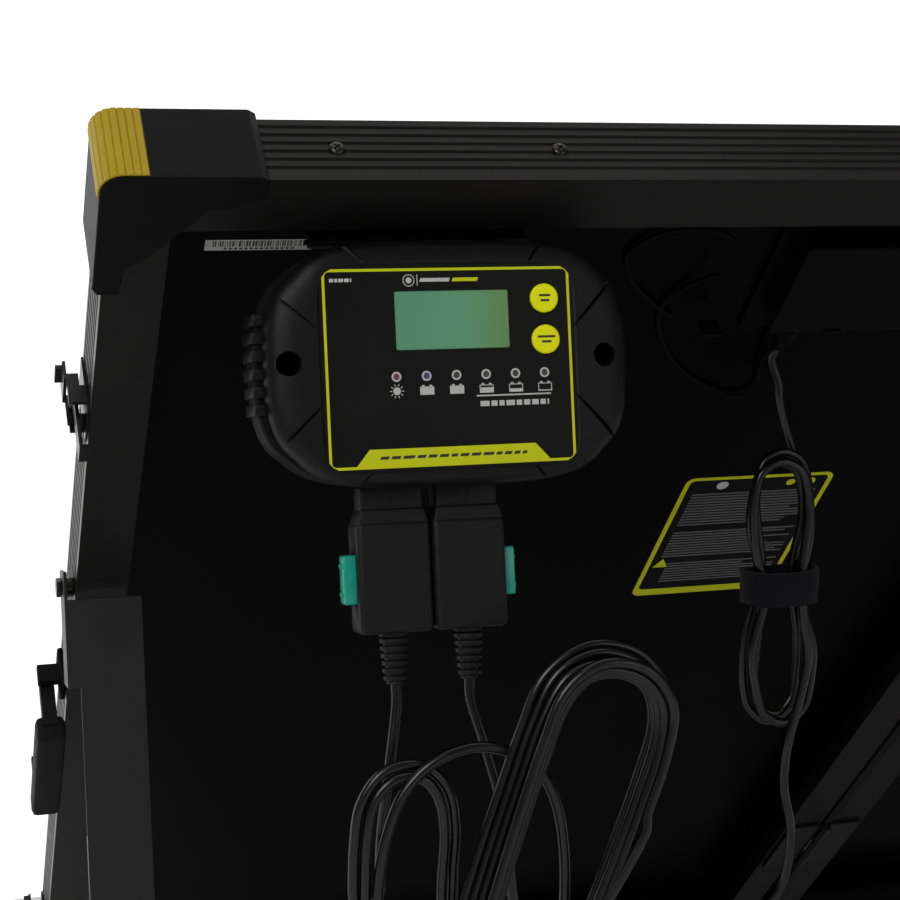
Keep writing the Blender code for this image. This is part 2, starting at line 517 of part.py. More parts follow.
# lead from the junction box: short drop into a tied hank, then a loop back up to the second plug
hx, hy = exit_jbox.x + 14.0, exit_jbox.y + 21.0
HANK_TOP, HANK_BOT, HANK_TIE = exit_jbox.z - 47.0, exit_jbox.z - 255.0, exit_jbox.z - 150.0
p0 = exit_jbox + down_sheet * GAP
tube("junction_lead_drop", smooth_route([p0, p0 + down_sheet * 12, (hx - 3, hy - 2, exit_jbox.z - 26),
                                         (hx, hy, HANK_TOP + 9), (hx, hy, HANK_TOP + GAP)], 8.0), CORD, I4, "cord_black")
hank_frame = frame_matrix((1, 0, 0), (0, 0, 1), (0, -1, 0), (hx * MM, hy * MM, HANK_TIE * MM))
up, dn = HANK_TOP - HANK_TIE, HANK_BOT - HANK_TIE
prof = [(0, up), (14, up - 3), (24, up - 12), (29, up - 27), (28, 40), (21.5, 13), (21.5, -13), (26, -36), (25, dn + 26), (19, dn + 10),
        (9, dn + 2), (0, dn)]
prof = prof + [(-x, y) for x, y in reversed(prof[1:-1])]
outline("junction_lead_hank", prof, -11, 11, hank_frame, "cord_black")
strap = outline("cable_strap", [(-25, -11), (25, -11), (25, 11), (-25, 11)], -14.5, 14.5, hank_frame, "strap_black")
boolean(strap, box("cut_strap", (-21.5 - 0.4, -20, -11.4), (21.5 + 0.4, 20, 11.4), hank_frame, cutter=True))

q0 = exit_panel + down_ctrl * GAP
tail_ctrl = [(hx + 2, hy, HANK_BOT - GAP), (hx + 6, hy, HANK_BOT - 25), (hx + 12, hy + 2, HANK_BOT - 58), (hx + 6, hy + 8, HANK_BOT - 98),
             (hx - 32, hy + 10, HANK_BOT - 130), (hx - 88, hy - 6, HANK_BOT - 138), (hx - 143, hy - 45, HANK_BOT - 120),
             (hx - 188, hy - 92, HANK_BOT - 86), (q0.x + 30, hy - 132, HANK_BOT - 34), (q0.x + 14, q0.y - 13, q0.z - 74),
             (q0.x + 6, q0.y - 8, q0.z - 38), q0 + down_ctrl * 14, q0]
tube("junction_lead_tail", smooth_route(tail_ctrl, 13.0), CORD, I4, "cord_black")

# battery lead: down from the first plug into its own tied hank, then a short end with the connector
b0 = exit_battery + down_ctrl * GAP
LEAN = 20.0
BH = Vector((exit_battery.x + 59.0, exit_battery.y - 46.0, exit_battery.z - 110.0))
ca, sa = math.cos(math.radians(LEAN)), math.sin(math.radians(LEAN))
bank = frame_matrix((ca, 0, -sa), (sa, 0, ca), (0, -1, 0), BH * MM)
B_UP, B_DN, B_THICK = 140.0, -128.0, 17.0
prof = [(0, B_UP), (20, 136), (35, 123), (42, 100), (42, 50), (40, 0), (38, -50), (36, -88), (27, -116), (8, B_DN), (-14, B_DN), (-38, -118),
        (-60, -92), (-82, -50), (-100, 0), (-105, 28), (-98, 46), (-82, 55), (-62, 53), (-46, 47), (-42, 60), (-42, 100), (-35, 123), (-20, 136)]
outline("battery_lead_hank", prof, -B_THICK, B_THICK, bank, "cord_black")
end = Vector((b0.x - 11, BH.y + B_THICK + 0.5, b0.z - 122))
tube("battery_lead", smooth_route([b0, b0 + down_ctrl * 14, (b0.x - 5, b0.y - 6, b0.z - 44), (b0.x - 9, b0.y - 3, b0.z - 82),
                                   (end.x, end.y + 20, end.z + 5), (end.x, end.y + 9, end.z), end], 9.0), CORD, I4, "cord_black")
e0 = at(bank, -3, B_DN - GAP, 0)
e_dir = (bank.to_3x3() @ Vector((0, -1, 0))).normalized()
e1 = Vector((e0.x - 14, e0.y, e0.z - 74))
tube("battery_lead_end", smooth_route([e0, e0 + e_dir * 14, (e0.x - 11, e0.y, e0.z - 42), e1], 11.0), CORD, I4, "cord_black")
con = cylinder("battery_connector", (e1.x, e1.y, e1.z - GAP), (e1.x, e1.y, e1.z - 24), 4.4, I4, "case_plastic", sides=16, r2=6.6)
boolean(con, box("cut_con_body", (e1.x - 13, e1.y - 8, e1.z - 62), (e1.x + 13, e1.y + 8, e1.z - 22), I4, "case_plastic", bevel=2.0), "UNION")
boolean(con, box("cut_con_mouth", (e1.x - 10, e1.y - 5, e1.z - 70), (e1.x + 10, e1.y + 5, e1.z - 50), I4, cutter=True))

for o in coll.objects:
    if o.type == "MESH":
        o.data.shade_smooth()
        o.data.set_sharp_from_angle(angle=math.radians(35))
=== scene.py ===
"""Looks of the folding solar suitcase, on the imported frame."""
import bpy, bmesh, math, random
from mathutils import Matrix, Vector, noise


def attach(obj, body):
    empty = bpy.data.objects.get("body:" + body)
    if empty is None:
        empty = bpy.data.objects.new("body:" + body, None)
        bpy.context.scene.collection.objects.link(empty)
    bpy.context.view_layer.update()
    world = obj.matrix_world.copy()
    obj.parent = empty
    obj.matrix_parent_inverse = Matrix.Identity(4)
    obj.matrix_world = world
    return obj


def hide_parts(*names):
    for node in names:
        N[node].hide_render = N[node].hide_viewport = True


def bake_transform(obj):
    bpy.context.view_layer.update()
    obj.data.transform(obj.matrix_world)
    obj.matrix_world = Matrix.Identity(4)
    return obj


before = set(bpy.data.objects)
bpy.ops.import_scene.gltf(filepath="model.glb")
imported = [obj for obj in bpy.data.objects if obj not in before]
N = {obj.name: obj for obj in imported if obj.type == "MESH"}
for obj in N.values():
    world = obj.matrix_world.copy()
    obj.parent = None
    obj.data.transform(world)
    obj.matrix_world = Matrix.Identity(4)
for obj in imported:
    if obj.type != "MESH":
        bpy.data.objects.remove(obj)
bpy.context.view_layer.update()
random.seed(7)
MM = 0.001

# ---------------------------------------------------------------- the model's own frames (as in the CAD)
T, W, L, FOLD_GAP, FL_TOP, FL_SIDE = 42.0, 668.0, 1030.0, 14.0, 34.0, 31.0
PROUD, BACK, GUARD = 5.0, 4.0, 74.0
T_B, T_ALL = W + FOLD_GAP, 2 * W + FOLD_GAP
ORIGIN = (-669.5, -376.0, 734.72)
CTRL_TILT, HINGE_S, HINGE_H, CT = 52.5, 54.8, 12.1, 160.9
SHEET = 33.3
Q = math.sqrt(0.5)


def frame_matrix(x, y, z, o):
    m = Matrix.Identity(4)
    for i, v in enumerate((x, y, z)):
        m[0][i], m[1][i], m[2][i] = v
    m[0][3], m[1][3], m[2][3] = o
    return m


PANEL = frame_matrix((1, 0, 0), (0, Q, -Q), (0, Q, Q), [v * MM for v in ORIGIN])


def swung(s0, h0, angle):
    a = math.radians(angle)
    return PANEL @ frame_matrix((1, 0, 0), (0, math.cos(a), -math.sin(a)), (0, math.sin(a), math.cos(a)), (0, s0 * MM, h0 * MM))


CTRL = swung(HINGE_S, HINGE_H, CTRL_TILT)
I4 = Matrix.Identity(4)
# the far half mirrors the near one across the fold
MIRROR = PANEL @ Matrix.Translation((T_ALL * MM, 0, 0)) @ Matrix.Diagonal((-1, 1, 1, 1))


def at(m, x, y, z):
    return m @ (Vector((x, y, z)) * MM)


# ---------------------------------------------------------------- materials
def mat(name, color, rough=0.5, metal=0.0, bump=0.0, bump_scale=800.0, vary=0.15, rvary=0.08, vary_scale=30.0,
        stretch=(1, 1, 1), coat=0.0, sheen=0.0, spec=0.5, emit=None, emit_k=0.0, detail=4.0):
    m = bpy.data.materials.new(name)
    m.use_nodes = True
    nt = m.node_tree
    n, l = nt.nodes, nt.links
    b = n["Principled BSDF"]
    b.inputs["Metallic"].default_value = metal
    b.inputs["Specular IOR Level"].default_value = spec
    b.inputs["Coat Weight"].default_value = coat
    b.inputs["Coat Roughness"].default_value = 0.12
    b.inputs["Sheen Weight"].default_value = sheen
    if emit:
        b.inputs["Emission Color"].default_value = (*emit, 1)
        b.inputs["Emission Strength"].default_value = emit_k
    tc = n.new("ShaderNodeTexCoord")
    mp = n.new("ShaderNodeMapping")
    mp.inputs["Scale"].default_value = stretch
    l.new(tc.outputs["Object"], mp.inputs["Vector"])
    nz = n.new("ShaderNodeTexNoise")
    nz.inputs["Scale"].default_value = vary_scale
    nz.inputs["Detail"].default_value = detail
    l.new(mp.outputs["Vector"], nz.inputs["Vector"])
    ramp = n.new("ShaderNodeMix")
    ramp.data_type = "RGBA"
    ramp.inputs["A"].default_value = (*[c * (1 - vary) for c in color], 1)
    ramp.inputs["B"].default_value = (*[min(1, c * (1 + vary)) for c in color], 1)
    l.new(nz.outputs["Fac"], ramp.inputs["Factor"])
    l.new(ramp.outputs["Result"], b.inputs["Base Color"])
    mr = n.new("ShaderNodeMapRange")
    mr.inputs["To Min"].default_value = max(0.02, rough - rvary)
    mr.inputs["To Max"].default_value = min(1, rough + rvary)
    l.new(nz.outputs["Fac"], mr.inputs["Value"])
    l.new(mr.outputs["Result"], b.inputs["Roughness"])
    if bump:
        fine = n.new("ShaderNodeTexNoise")
        fine.inputs["Scale"].default_value = bump_scale
        fine.inputs["Detail"].default_value = 3
        l.new(mp.outputs["Vector"], fine.inputs["Vector"])
        bp = n.new("ShaderNodeBump")
        bp.inputs["Strength"].default_value = bump
        bp.inputs["Distance"].default_value = 0.0004
        l.new(fine.outputs["Fac"], bp.inputs["Height"])
        l.new(bp.outputs["Normal"], b.inputs["Normal"])
    return m


def links_of(m):
    return m.node_tree.nodes, m.node_tree.links, m.node_tree.nodes["Principled BSDF"]


M_RAIL = mat("rail_anodised", (0.0155, 0.0145, 0.0140), 0.38, 0.55, spec=0.25, bump=0.10, bump_scale=1500, vary=0.25, rvary=0.07, vary_scale=45)
M_GUARD = mat("guard_plastic_skin", (0.0030, 0.0029, 0.0029), 0.48, spec=0.11, bump=0.22, bump_scale=2600, vary=0.12, vary_scale=60)
M_YELLOW = mat("yellow_insert", (0.48, 0.34, 0.014), 0.45, spec=0.2, bump=0.12, bump_scale=2400, vary=0.10, vary_scale=90)
M_CASE = mat("case_grain", (0.0052, 0.0050, 0.0049), 0.38, spec=0.22, bump=0.30, bump_scale=3000, vary=0.10, vary_scale=70)
M_PLUG = mat("plug_grain", (0.0085, 0.0083, 0.0083), 0.42, spec=0.22, bump=0.32, bump_scale=3200, vary=0.12, vary_scale=90)
M_FILM = mat("face_film", (0.0072, 0.0068, 0.0066), 0.40, spec=0.16, bump=0.05, bump_scale=2500, vary=0.12, vary_scale=30)
M_CORD = mat("cord_jacket", (0.0022, 0.0021, 0.0021), 0.27, bump=0.06, bump_scale=900, vary=0.2, vary_scale=40, spec=0.5)
M_STRAP = mat("hook_loop", (0.0075, 0.0072, 0.0100), 0.95, bump=1.0, bump_scale=1300, vary=0.45, vary_scale=700, sheen=0.08, spec=0.1)
M_LEG = mat("leg_powder", (0.030, 0.0295, 0.030), 0.44, 0.30, spec=0.25, bump=0.14, bump_scale=2600, vary=0.10, vary_scale=25)
M_BLACKSTEEL = mat("black_steel", (0.012, 0.0115, 0.0115), 0.30, 0.6, bump=0.06, bump_scale=900, vary=0.2, vary_scale=120)
M_BARE = mat("bare_steel", (0.50, 0.49, 0.48), 0.28, 1.0, bump=0.06, bump_scale=900, vary=0.12, vary_scale=150)
M_ZINC = mat("dark_screw", (0.05, 0.048, 0.046), 0.30, 0.9, bump=0.05, bump_scale=900, vary=0.15, vary_scale=200)
M_GRIP = mat("grip_rubber_skin", (0.0065, 0.0063, 0.0063), 0.6, spec=0.15, bump=0.5, bump_scale=1500, vary=0.15, vary_scale=80)
M_SHEET = mat("back_sheet_skin", (0.0008, 0.0008, 0.0009), 0.32, bump=0.03, bump_scale=90, vary=0.35, rvary=0.12, vary_scale=9, spec=0.05)
M_TAB = mat("green_tab", (0.006, 0.40, 0.27), 0.28, bump=0.04, bump_scale=900, vary=0.10, vary_scale=200, coat=0.3)
M_YBTN = mat("button_skin", (0.95, 0.96, 0.010), 0.45, spec=0.10, bump=0.06, bump_scale=1500, vary=0.05, vary_scale=120)
M_YLINE = mat("yellow_ink", (0.66, 0.70, 0.015), 0.5, spec=0.1, vary=0.06, vary_scale=200)
M_WHITE = mat("white_ink", (0.58, 0.58, 0.57), 0.5, vary=0.05, vary_scale=200)
M_INK = mat("dark_ink", (0.03, 0.03, 0.02), 0.5, vary=0.1, vary_scale=200)
M_GREYINK = mat("grey_ink", (0.125, 0.120, 0.125), 0.5, vary=0.3, vary_scale=900)
M_LED_R = mat("led_red", (0.16, 0.055, 0.065), 0.2, vary=0.1, vary_scale=200, coat=0.4)
M_LED_B = mat("led_blue", (0.05, 0.06, 0.16), 0.2, vary=0.1, vary_scale=200, coat=0.4)
M_LED = mat("led_clear", (0.055, 0.055, 0.058), 0.2, vary=0.1, vary_scale=200, coat=0.4)
# painted shade: near-black, non-reflective finish for the discs that darken the ear holes
M_EAR_HOLE_SHADE = mat("ear_opening_painted_shade", (0.0004, 0.0004, 0.0004), 1.0, spec=0.0, vary=0.1)
M_BOARD = mat("circuit_green", (0.015, 0.13, 0.05), 0.45, vary=0.3, vary_scale=200)
M_LABEL = mat("label_film", (0.0030, 0.0030, 0.0034), 0.34, spec=0.1, vary=0.2, vary_scale=40)

# display: a soft green-grey glow, yellower towards one end
M_JB = mat("junction_black", (0.0016, 0.0015, 0.0015), 0.45, spec=0.07, bump=0.15, bump_scale=2200, vary=0.15, vary_scale=60)
M_CELL = mat("solar_cell", (0.0055, 0.0065, 0.016), 0.24, spec=0.4, vary=0.18, vary_scale=18, coat=0.5)
M_SILVER = mat("busbar_tin", (0.42, 0.42, 0.43), 0.35, 0.9, vary=0.08, vary_scale=200)
M_LCD = mat("display_glow", (0.20, 0.35, 0.24), 0.22, vary=0.03, coat=0.25)
nd, lk, bs = links_of(M_LCD)
tc = nd.new("ShaderNodeTexCoord")
sep = nd.new("ShaderNodeSeparateXYZ")
lk.new(tc.outputs["Object"], sep.inputs["Vector"])
mr = nd.new("ShaderNodeMapRange")
mr.inputs["From Min"].default_value = at(CTRL, CT - 24, 0, 0).x
mr.inputs["From Max"].default_value = at(CTRL, CT + 33, 0, 0).x
lk.new(sep.outputs["X"], mr.inputs["Value"])
cr = nd.new("ShaderNodeValToRGB")
cr.color_ramp.elements[0].color = (0.106, 0.32, 0.192, 1)
cr.color_ramp.elements[1].color = (0.137, 0.27, 0.083, 1)
e = cr.color_ramp.elements.new(0.62)
e.color = (0.118, 0.34, 0.178, 1)
lk.new(mr.outputs["Result"], cr.inputs["Fac"])
lk.new(cr.outputs["Color"], bs.inputs["Base Color"])
lk.new(cr.outputs["Color"], bs.inputs["Emission Color"])
bs.inputs["Emission Strength"].default_value = 0.10


# ---------------------------------------------------------------- mesh helpers
def link(o, m=None, body=None, smooth=True):
    if o.name not in bpy.context.scene.collection.objects:
        bpy.context.scene.collection.objects.link(o)
    if m:
        o.data.materials.clear()
        o.data.materials.append(m)
    if smooth and o.type == "MESH":
        o.data.shade_smooth()
        o.data.set_sharp_from_angle(angle=math.radians(38))
    if body:
        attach(o, body)
    return o


def apply_mods(o):
    dg = bpy.context.evaluated_depsgraph_get()
    me = bpy.data.meshes.new_from_object(o.evaluated_get(dg))
    o.modifiers.clear()
    o.data = me
    return o


def mesh_from(name, verts, faces, matrix=I4):
    me = bpy.data.meshes.new(name)
    me.from_pydata([tuple(Vector(v) * MM) for v in verts], [], faces)
    bm = bmesh.new()
    bm.from_mesh(me)
    bmesh.ops.remove_doubles(bm, verts=bm.verts, dist=1e-7)
    bmesh.ops.recalc_face_normals(bm, faces=bm.faces)
    bmesh.ops.transform(bm, matrix=matrix, verts=bm.verts)
    if matrix.determinant() < 0:
        bmesh.ops.reverse_faces(bm, faces=bm.faces)
    bm.to_mesh(me)
    bm.free()
    return bpy.data.objects.new(name, me)


def prism(name, pts, z0, z1, matrix=I4, bevel=0.0, segs=2):
    """Outline extruded from z0 to z1, edges rounded."""
    n = len(pts)
    verts = [(x, y, z0) for x, y in pts] + [(x, y, z1) for x, y in pts]
    faces = [list(range(n)), list(range(2 * n - 1, n - 1, -1))] + [[i, (i + 1) % n, n + (i + 1) % n, n + i] for i in range(n)]
    me = bpy.data.meshes.new(name)
    me.from_pydata([tuple(Vector(v) * MM) for v in verts], [], faces)
    bm = bmesh.new()
    bm.from_mesh(me)
    bmesh.ops.recalc_face_normals(bm, faces=bm.faces)
    if bevel:
        sharp = [e for e in bm.edges if len(e.link_faces) == 2 and e.calc_face_angle(0) > math.radians(35)]
        bmesh.ops.bevel(bm, geom=sharp, offset=bevel * MM, segments=segs, profile=0.5, affect="EDGES", clamp_overlap=True)
    bmesh.ops.transform(bm, matrix=matrix, verts=bm.verts)
    if matrix.determinant() < 0:
        bmesh.ops.reverse_faces(bm, faces=bm.faces)
    bm.to_mesh(me)
    bm.free()
    return bpy.data.objects.new(name, me)


def rbox(name, lo, hi, matrix=I4, bevel=0.6, segs=2):
    return prism(name, [(lo[0], lo[1]), (hi[0], lo[1]), (hi[0], hi[1]), (lo[0], hi[1])], lo[2], hi[2], matrix, bevel, segs)


def lathe(name, a, d, prof, sides=24, matrix=I4, caps=True):
    """Turned shape from point a along d: prof is (distance, radius) pairs."""
    a, d = Vector(a), Vector(d).normalized()
    u = d.orthogonal().normalized()
    v = d.cross(u)
    verts, faces = [], []
    for z, r in prof:
        for k in range(sides):
            t = 2 * math.pi * k / sides
            verts.append(a + d * z + (u * math.cos(t) + v * math.sin(t)) * max(r, 0.001))
    m = len(prof)
    for i in range(m - 1):
        for k in range(sides):
            k2 = (k + 1) % sides
            faces.append([i * sides + k, i * sides + k2, (i + 1) * sides + k2, (i + 1) * sides + k])
    if caps:
        faces.append([k for k in range(sides)])
        faces.append([(m - 1) * sides + k for k in range(sides - 1, -1, -1)])
    return mesh_from(name, verts, faces, matrix)


def join(name, objs):
    bm = bmesh.new()
    for o in objs:
        me = o.data
        bm.from_mesh(me)
    me = bpy.data.meshes.new(name)
    bm.to_mesh(me)
    bm.free()
    for o in objs:
        bpy.data.objects.remove(o, do_unlink=True)
    return bpy.data.objects.new(name, me)


def smooth_route(ctrl, step):
    P = [Vector(p) for p in ctrl]
    P = [P[0] * 2 - P[1]] + P + [P[-1] * 2 - P[-2]]
    dense = []
    for i in range(1, len(P) - 2):
        a, b, c, d = P[i - 1], P[i], P[i + 1], P[i + 2]
        for k in range(24):
            u = k / 24
            dense.append(0.5 * (2 * b + (c - a) * u + (2 * a - 5 * b + 4 * c - d) * u * u + (3 * b - a - 3 * c + d) * u ** 3))
    dense.append(P[-2])
    acc = [0.0]
    for a, b in zip(dense, dense[1:]):
        acc.append(acc[-1] + (b - a).length)
    n = max(2, round(acc[-1] / step))
    out, j = [], 0
    for i in range(n + 1):
        target = acc[-1] * i / n
        while j < len(acc) - 2 and acc[j + 1] < target:
            j += 1
        f = (target - acc[j]) / max(1e-9, acc[j + 1] - acc[j])
        out.append(dense[j].lerp(dense[j + 1], min(1, max(0, f))))
    return out


def curve_tube(name, pts, dia, m, body, res=4):
    """pts in mm, world."""
    cu = bpy.data.curves.new(name, "CURVE")
    cu.dimensions = "3D"
    cu.bevel_depth = dia / 2 * MM
    cu.bevel_resolution = res
    cu.use_fill_caps = True
    sp = cu.splines.new("POLY")
    sp.points.add(len(pts) - 1)
    for p, q in zip(sp.points, pts):
        p.co = (q[0] * MM, q[1] * MM, q[2] * MM, 1)
    sp.use_smooth = True
    o = bpy.data.objects.new(name, cu)
    bpy.context.scene.collection.objects.link(o)
    cu.materials.append(m)
    if body:
        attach(o, body)
    return o


def length_of(pts):
    return sum((Vector(b) - Vector(a)).length for a, b in zip(pts, pts[1:]))


# ---------------------------------------------------------------- camera, lights, floor
Rr = Matrix.Rotation(math.sqrt(0.9036 ** 2 + 0.2901 ** 2 + 0.0925 ** 2), 3, Vector((0.9036, -0.2901, 0.0925)))
RP = PANEL.to_3x3()
C = RP @ Rr.transposed()
tcam = Vector((-165.5963, -131.5114, 901.1826)) * (T / 44.45) * MM
loc = Vector(ORIGIN) * MM - C @ tcam
cam_d = bpy.data.cameras.new("camera")
cam_d.sensor_width = 36
cam_d.lens = 1850 / 900 * 36
cam_d.clip_start, cam_d.clip_end = 0.02, 50
cam = bpy.data.objects.new("camera", cam_d)
cm = Matrix.Identity(4)
for i in range(3):
    cm[i][0], cm[i][1], cm[i][2], cm[i][3] = C[i][0], -C[i][1], -C[i][2], loc[i]
cam.matrix_world = cm
bpy.context.scene.collection.objects.link(cam)
bpy.context.scene.camera = cam


def area(name, loc, target, size, power, color=(1, 1, 1)):
    d = bpy.data.lights.new(name, "AREA")
    d.shape = "RECTANGLE"
    d.size, d.size_y = size
    d.energy = power
    d.color = color
    o = bpy.data.objects.new(name, d)
    o.location = loc
    o.rotation_euler = (Vector(target) - Vector(loc)).to_track_quat("-Z", "Y").to_euler()
    bpy.context.scene.collection.objects.link(o)
    return o


area("key", (-1.9, -1.9, 1.9), (-0.4, -0.3, 0.6), (1.2, 1.2), 24)
area("fill", (1.2, -2.6, 1.2), (-0.3, -0.3, 0.6), (1.6, 1.6), 7)
area("top", (-0.3, -0.2, 3.0), (-0.3, -0.2, 0.6), (2.4, 1.6), 12)
area("glass_side", (0.3, 3.2, 1.8), (0, 0, 0.4), (2.0, 1.6), 26)
w = bpy.data.worlds.new("world")
w.use_nodes = True
w.node_tree.nodes["Background"].inputs["Color"].default_value = (1, 1, 1, 1)
w.node_tree.nodes["Background"].inputs["Strength"].default_value = 0.10
bpy.context.scene.world = w
try:
    bpy.context.scene.view_settings.view_transform = "Standard"
except Exception:
    pass
floor = prism("studio_floor", [(-6000, -6000), (6000, -6000), (6000, 700), (-6000, 700)], -4, -0.4)
link(floor, mat("studio_floor_paint", (0.86, 0.86, 0.86), 0.8, vary=0.01))
wall_m = mat("studio_wall_glow", (0.9, 0.9, 0.9), 0.9, vary=0.01, emit=(1, 1, 1), emit_k=1.03, spec=0.0)
wall = prism("studio_wall", [(-7000, 2600), (7000, 2600), (7000, 2640), (-7000, 2640)], -1500, 6000)
wn_, wl_, wb_ = links_of(wall_m)
geo_, tr_, mx_ = wn_.new("ShaderNodeNewGeometry"), wn_.new("ShaderNodeBsdfTransparent"), wn_.new("ShaderNodeMixShader")
wout_ = next(x for x in wn_ if x.type == "OUTPUT_MATERIAL")
wl_.new(geo_.outputs["Backfacing"], mx_.inputs["Fac"])
wl_.new(wb_.outputs["BSDF"], mx_.inputs[1])
wl_.new(tr_.outputs["BSDF"], mx_.inputs[2])
wl_.new(mx_.outputs["Shader"], wout_.inputs["Surface"])
wall.data = bpy.data.meshes.new("studio_wall")
wall.data.from_pydata([(-7, 2.6, -1.5), (7, 2.6, -1.5), (7, 2.6, 6), (-7, 2.6, 6)], [], [[0, 1, 2, 3]])
link(wall, wall_m, smooth=False)


def paint(m, *names):
    for nm in names:
        o = N[nm]
        for s_ in o.material_slots:
            s_.material = m
        if not o.material_slots:
            o.data.materials.append(m)


paint(M_RAIL, *[n for n in N if n.endswith("_rail")], "controller_bracket", "controller_hinge_leaf")
paint(M_GUARD, *[n for n in N if "_guard_" in n])
paint(M_SHEET, "a_laminate", "b_laminate")
paint(M_CASE, "controller_rear_case", "controller_front_cover", "junction_box", "junction_box_lid", "b_junction_box",
      "handle_bracket_upper", "handle_bracket_lower")
paint(M_PLUG, "battery_plug", "panel_plug", "battery_connector")
paint(M_LCD, "display_window")
paint(M_YBTN, "display_button", "battery_button")
paint(M_TAB, "battery_plug_latch", "panel_plug_latch")
paint(M_BOARD, "circuit_board")
paint(M_LEG, "leg_a", "leg_b")
paint(M_GRIP, "handle_grip")
paint(M_BLACKSTEEL, *[n for n in N if n.startswith("latch_")])
paint(M_BLACKSTEEL, *[n for n in N if n.startswith("fold_hinge")])
paint(M_BARE, "leg_bolt_a", "leg_bolt_b")

# ---------------------------------------------------------------- leads, at their real length
CORD = 5.6
BOT = 122.5
PLUG_X = {"battery": -26.5, "panel": 12.5}
PLUG_Z = -15.0
b_exit = at(CTRL, CT + PLUG_X["battery"], BOT + 97, PLUG_Z) / MM
p_exit = at(CTRL, CT + PLUG_X["panel"], BOT + 97, PLUG_Z) / MM
j_exit = at(PANEL, 407.0, 69.0 + 67.0 + 24, SHEET - 8.5) / MM
down_ctrl = (CTRL.to_3x3() @ Vector((0, 1, 0))).normalized()
down_sheet = (PANEL.to_3x3() @ Vector((0, 1, 0))).normalized()


def ease(x):
    x = min(1, max(0, x))
    return x * x * (3 - 2 * x)


def bend_at(P, i):
    a, b, c = P[i - 2], P[i], P[i + 2]
    ar = (b - a).cross(c - a).length / 2
    return (b - c).length * (a - c).length * (a - b).length / (4 * ar + 1e-9)


def relax(P, rmin, rounds=120, hold=7, reach=5):
    """Ease out the places where a route turns tighter than rmin."""
    P = [v.copy() for v in P]
    for _ in range(rounds):
        tight = set()
        for i in range(2, len(P) - 2):
            if bend_at(P, i) < rmin:
                tight.update(range(i - reach, i + reach + 1))
        tight = [i for i in tight if hold <= i < len(P) - hold]
        if not tight:
            break
        new = {i: P[i] * 0.5 + (P[i - 1] + P[i + 1]) * 0.25 for i in tight}
        for i, v in new.items():
            P[i] = v
    return P


def closed_curve(ctrl, n=160):
    """Even points and inward normals round a closed Catmull-Rom curve."""
    P = [Vector((x, y, 0)) for x, y in ctrl]
    m = len(P)
    dense = []
    for i in range(m):
        a, b, c, d = P[i - 1], P[i], P[(i + 1) % m], P[(i + 2) % m]
        for k in range(16):
            u = k / 16
            dense.append(0.5 * (2 * b + (c - a) * u + (2 * a - 5 * b + 4 * c - d) * u * u + (3 * b - a - 3 * c + d) * u ** 3))
    dense.append(dense[0])
    acc = [0.0]
    for a, b in zip(dense, dense[1:]):
        acc.append(acc[-1] + (b - a).length)
    out, j = [], 0
    for i in range(n):
        t = acc[-1] * i / n
        while acc[j + 1] < t:
            j += 1
        out.append(dense[j].lerp(dense[j + 1], (t - acc[j]) / max(1e-9, acc[j + 1] - acc[j])))
    nor = []
    for i in range(n):
        d = (out[(i + 2) % n] - out[i - 2]).normalized()
        nor.append(Vector((d.y, -d.x, 0)))  # to the right of travel: inwards on a clockwise curve
    return out, nor


def sample(curve, f, inset):
    pts, nor = curve
    n = len(pts)
    x = (f % 1.0) * n
    i = int(x) % n
    k = x - int(x)
    p = pts[i].lerp(pts[(i + 1) % n], k)
    q = nor[i].lerp(nor[(i + 1) % n], k).normalized()
    return p + q * inset


def ramp_of(keys, u):
    """Piecewise linear value."""
    for (u0, v0), (u1, v1) in zip(keys, keys[1:]):
        if u <= u1:
            return v0 + (v1 - v0) * (u - u0) / (u1 - u0)
    return keys[-1][1]


# battery lead: down behind its bundle, two low turns in the left lobe, then the leaning turns, wound in and out again
ca, sa = math.cos(math.radians(20)), math.sin(math.radians(20))
BH = Vector((b_exit.x + 59.0, b_exit.y - 46.0, b_exit.z - 110.0))
B_THICK = 17.0
bw = lambda p: Vector((BH.x + ca * p[0] + sa * p[1], BH.y - p[2], BH.z - sa * p[0] + ca * p[1]))
LOBE = closed_curve([(-68, -62), (-84, -32), (-97, 4), (-101, 28), (-95, 43), (-81, 51), (-64, 48), (-50, 30), (-40, 0), (-26, -40), (-10, -78),
                     (2, -104), (-3, -121), (-22, -121), (-42, -104)])
MAIN = closed_curve([(-33, -62), (-36, -20), (-38, 30), (-38, 96), (-32, 119), (-18, 132), (0, 136), (18, 132), (32, 119), (38, 96), (38, 45),
                     (36, 0), (35, -45), (33, -84), (25, -110), (8, -123), (-12, -123), (-27, -104)])
zk = [(0, -14.2), (2.0, -9.8), (3.0, -4.0), (6.4, 3.4), (7.4, 9.9), (9.35, 14.6)]
dk = [(0, 0.0), (2.0, 10.8), (3.0, 0.0), (6.4, 12.6), (7.4, 12.2), (9.35, 6.4)]
mid = []
u = 0.0
while u <= 9.62:
    z, d = ramp_of(zk, u), ramp_of(dk, u)
    m_ = ease((u - 2.0) / 0.9)
    wob = 1.1 * math.sin(u * 2.1) * math.sin(math.pi * (u % 1))
    p = sample(LOBE, u, d).lerp(sample(MAIN, u, d), m_)
    mid.append(bw((p.x + wob * 0.3, p.y + wob, z)))
    u += 0.012
b0 = b_exit + down_ctrl * 0.3
end = Vector((b0.x - 11, BH.y + B_THICK + 0.5, b0.z - 122))
first = [b0, b0 + down_ctrl * 14, Vector((b0.x - 5, b0.y - 6, b0.z - 44)), Vector((b0.x - 9, b0.y - 3, b0.z - 82)),
         Vector((end.x - 3, end.y + 9, end.z + 18)), bw((-66, -44, -17.5))]
e0 = bw((-3, -128.3, 0))
e_dir = (bw((0, -1, 0)) - bw((0, 0, 0))).normalized()
e1 = Vector((e0.x - 14, e0.y, e0.z - 74))
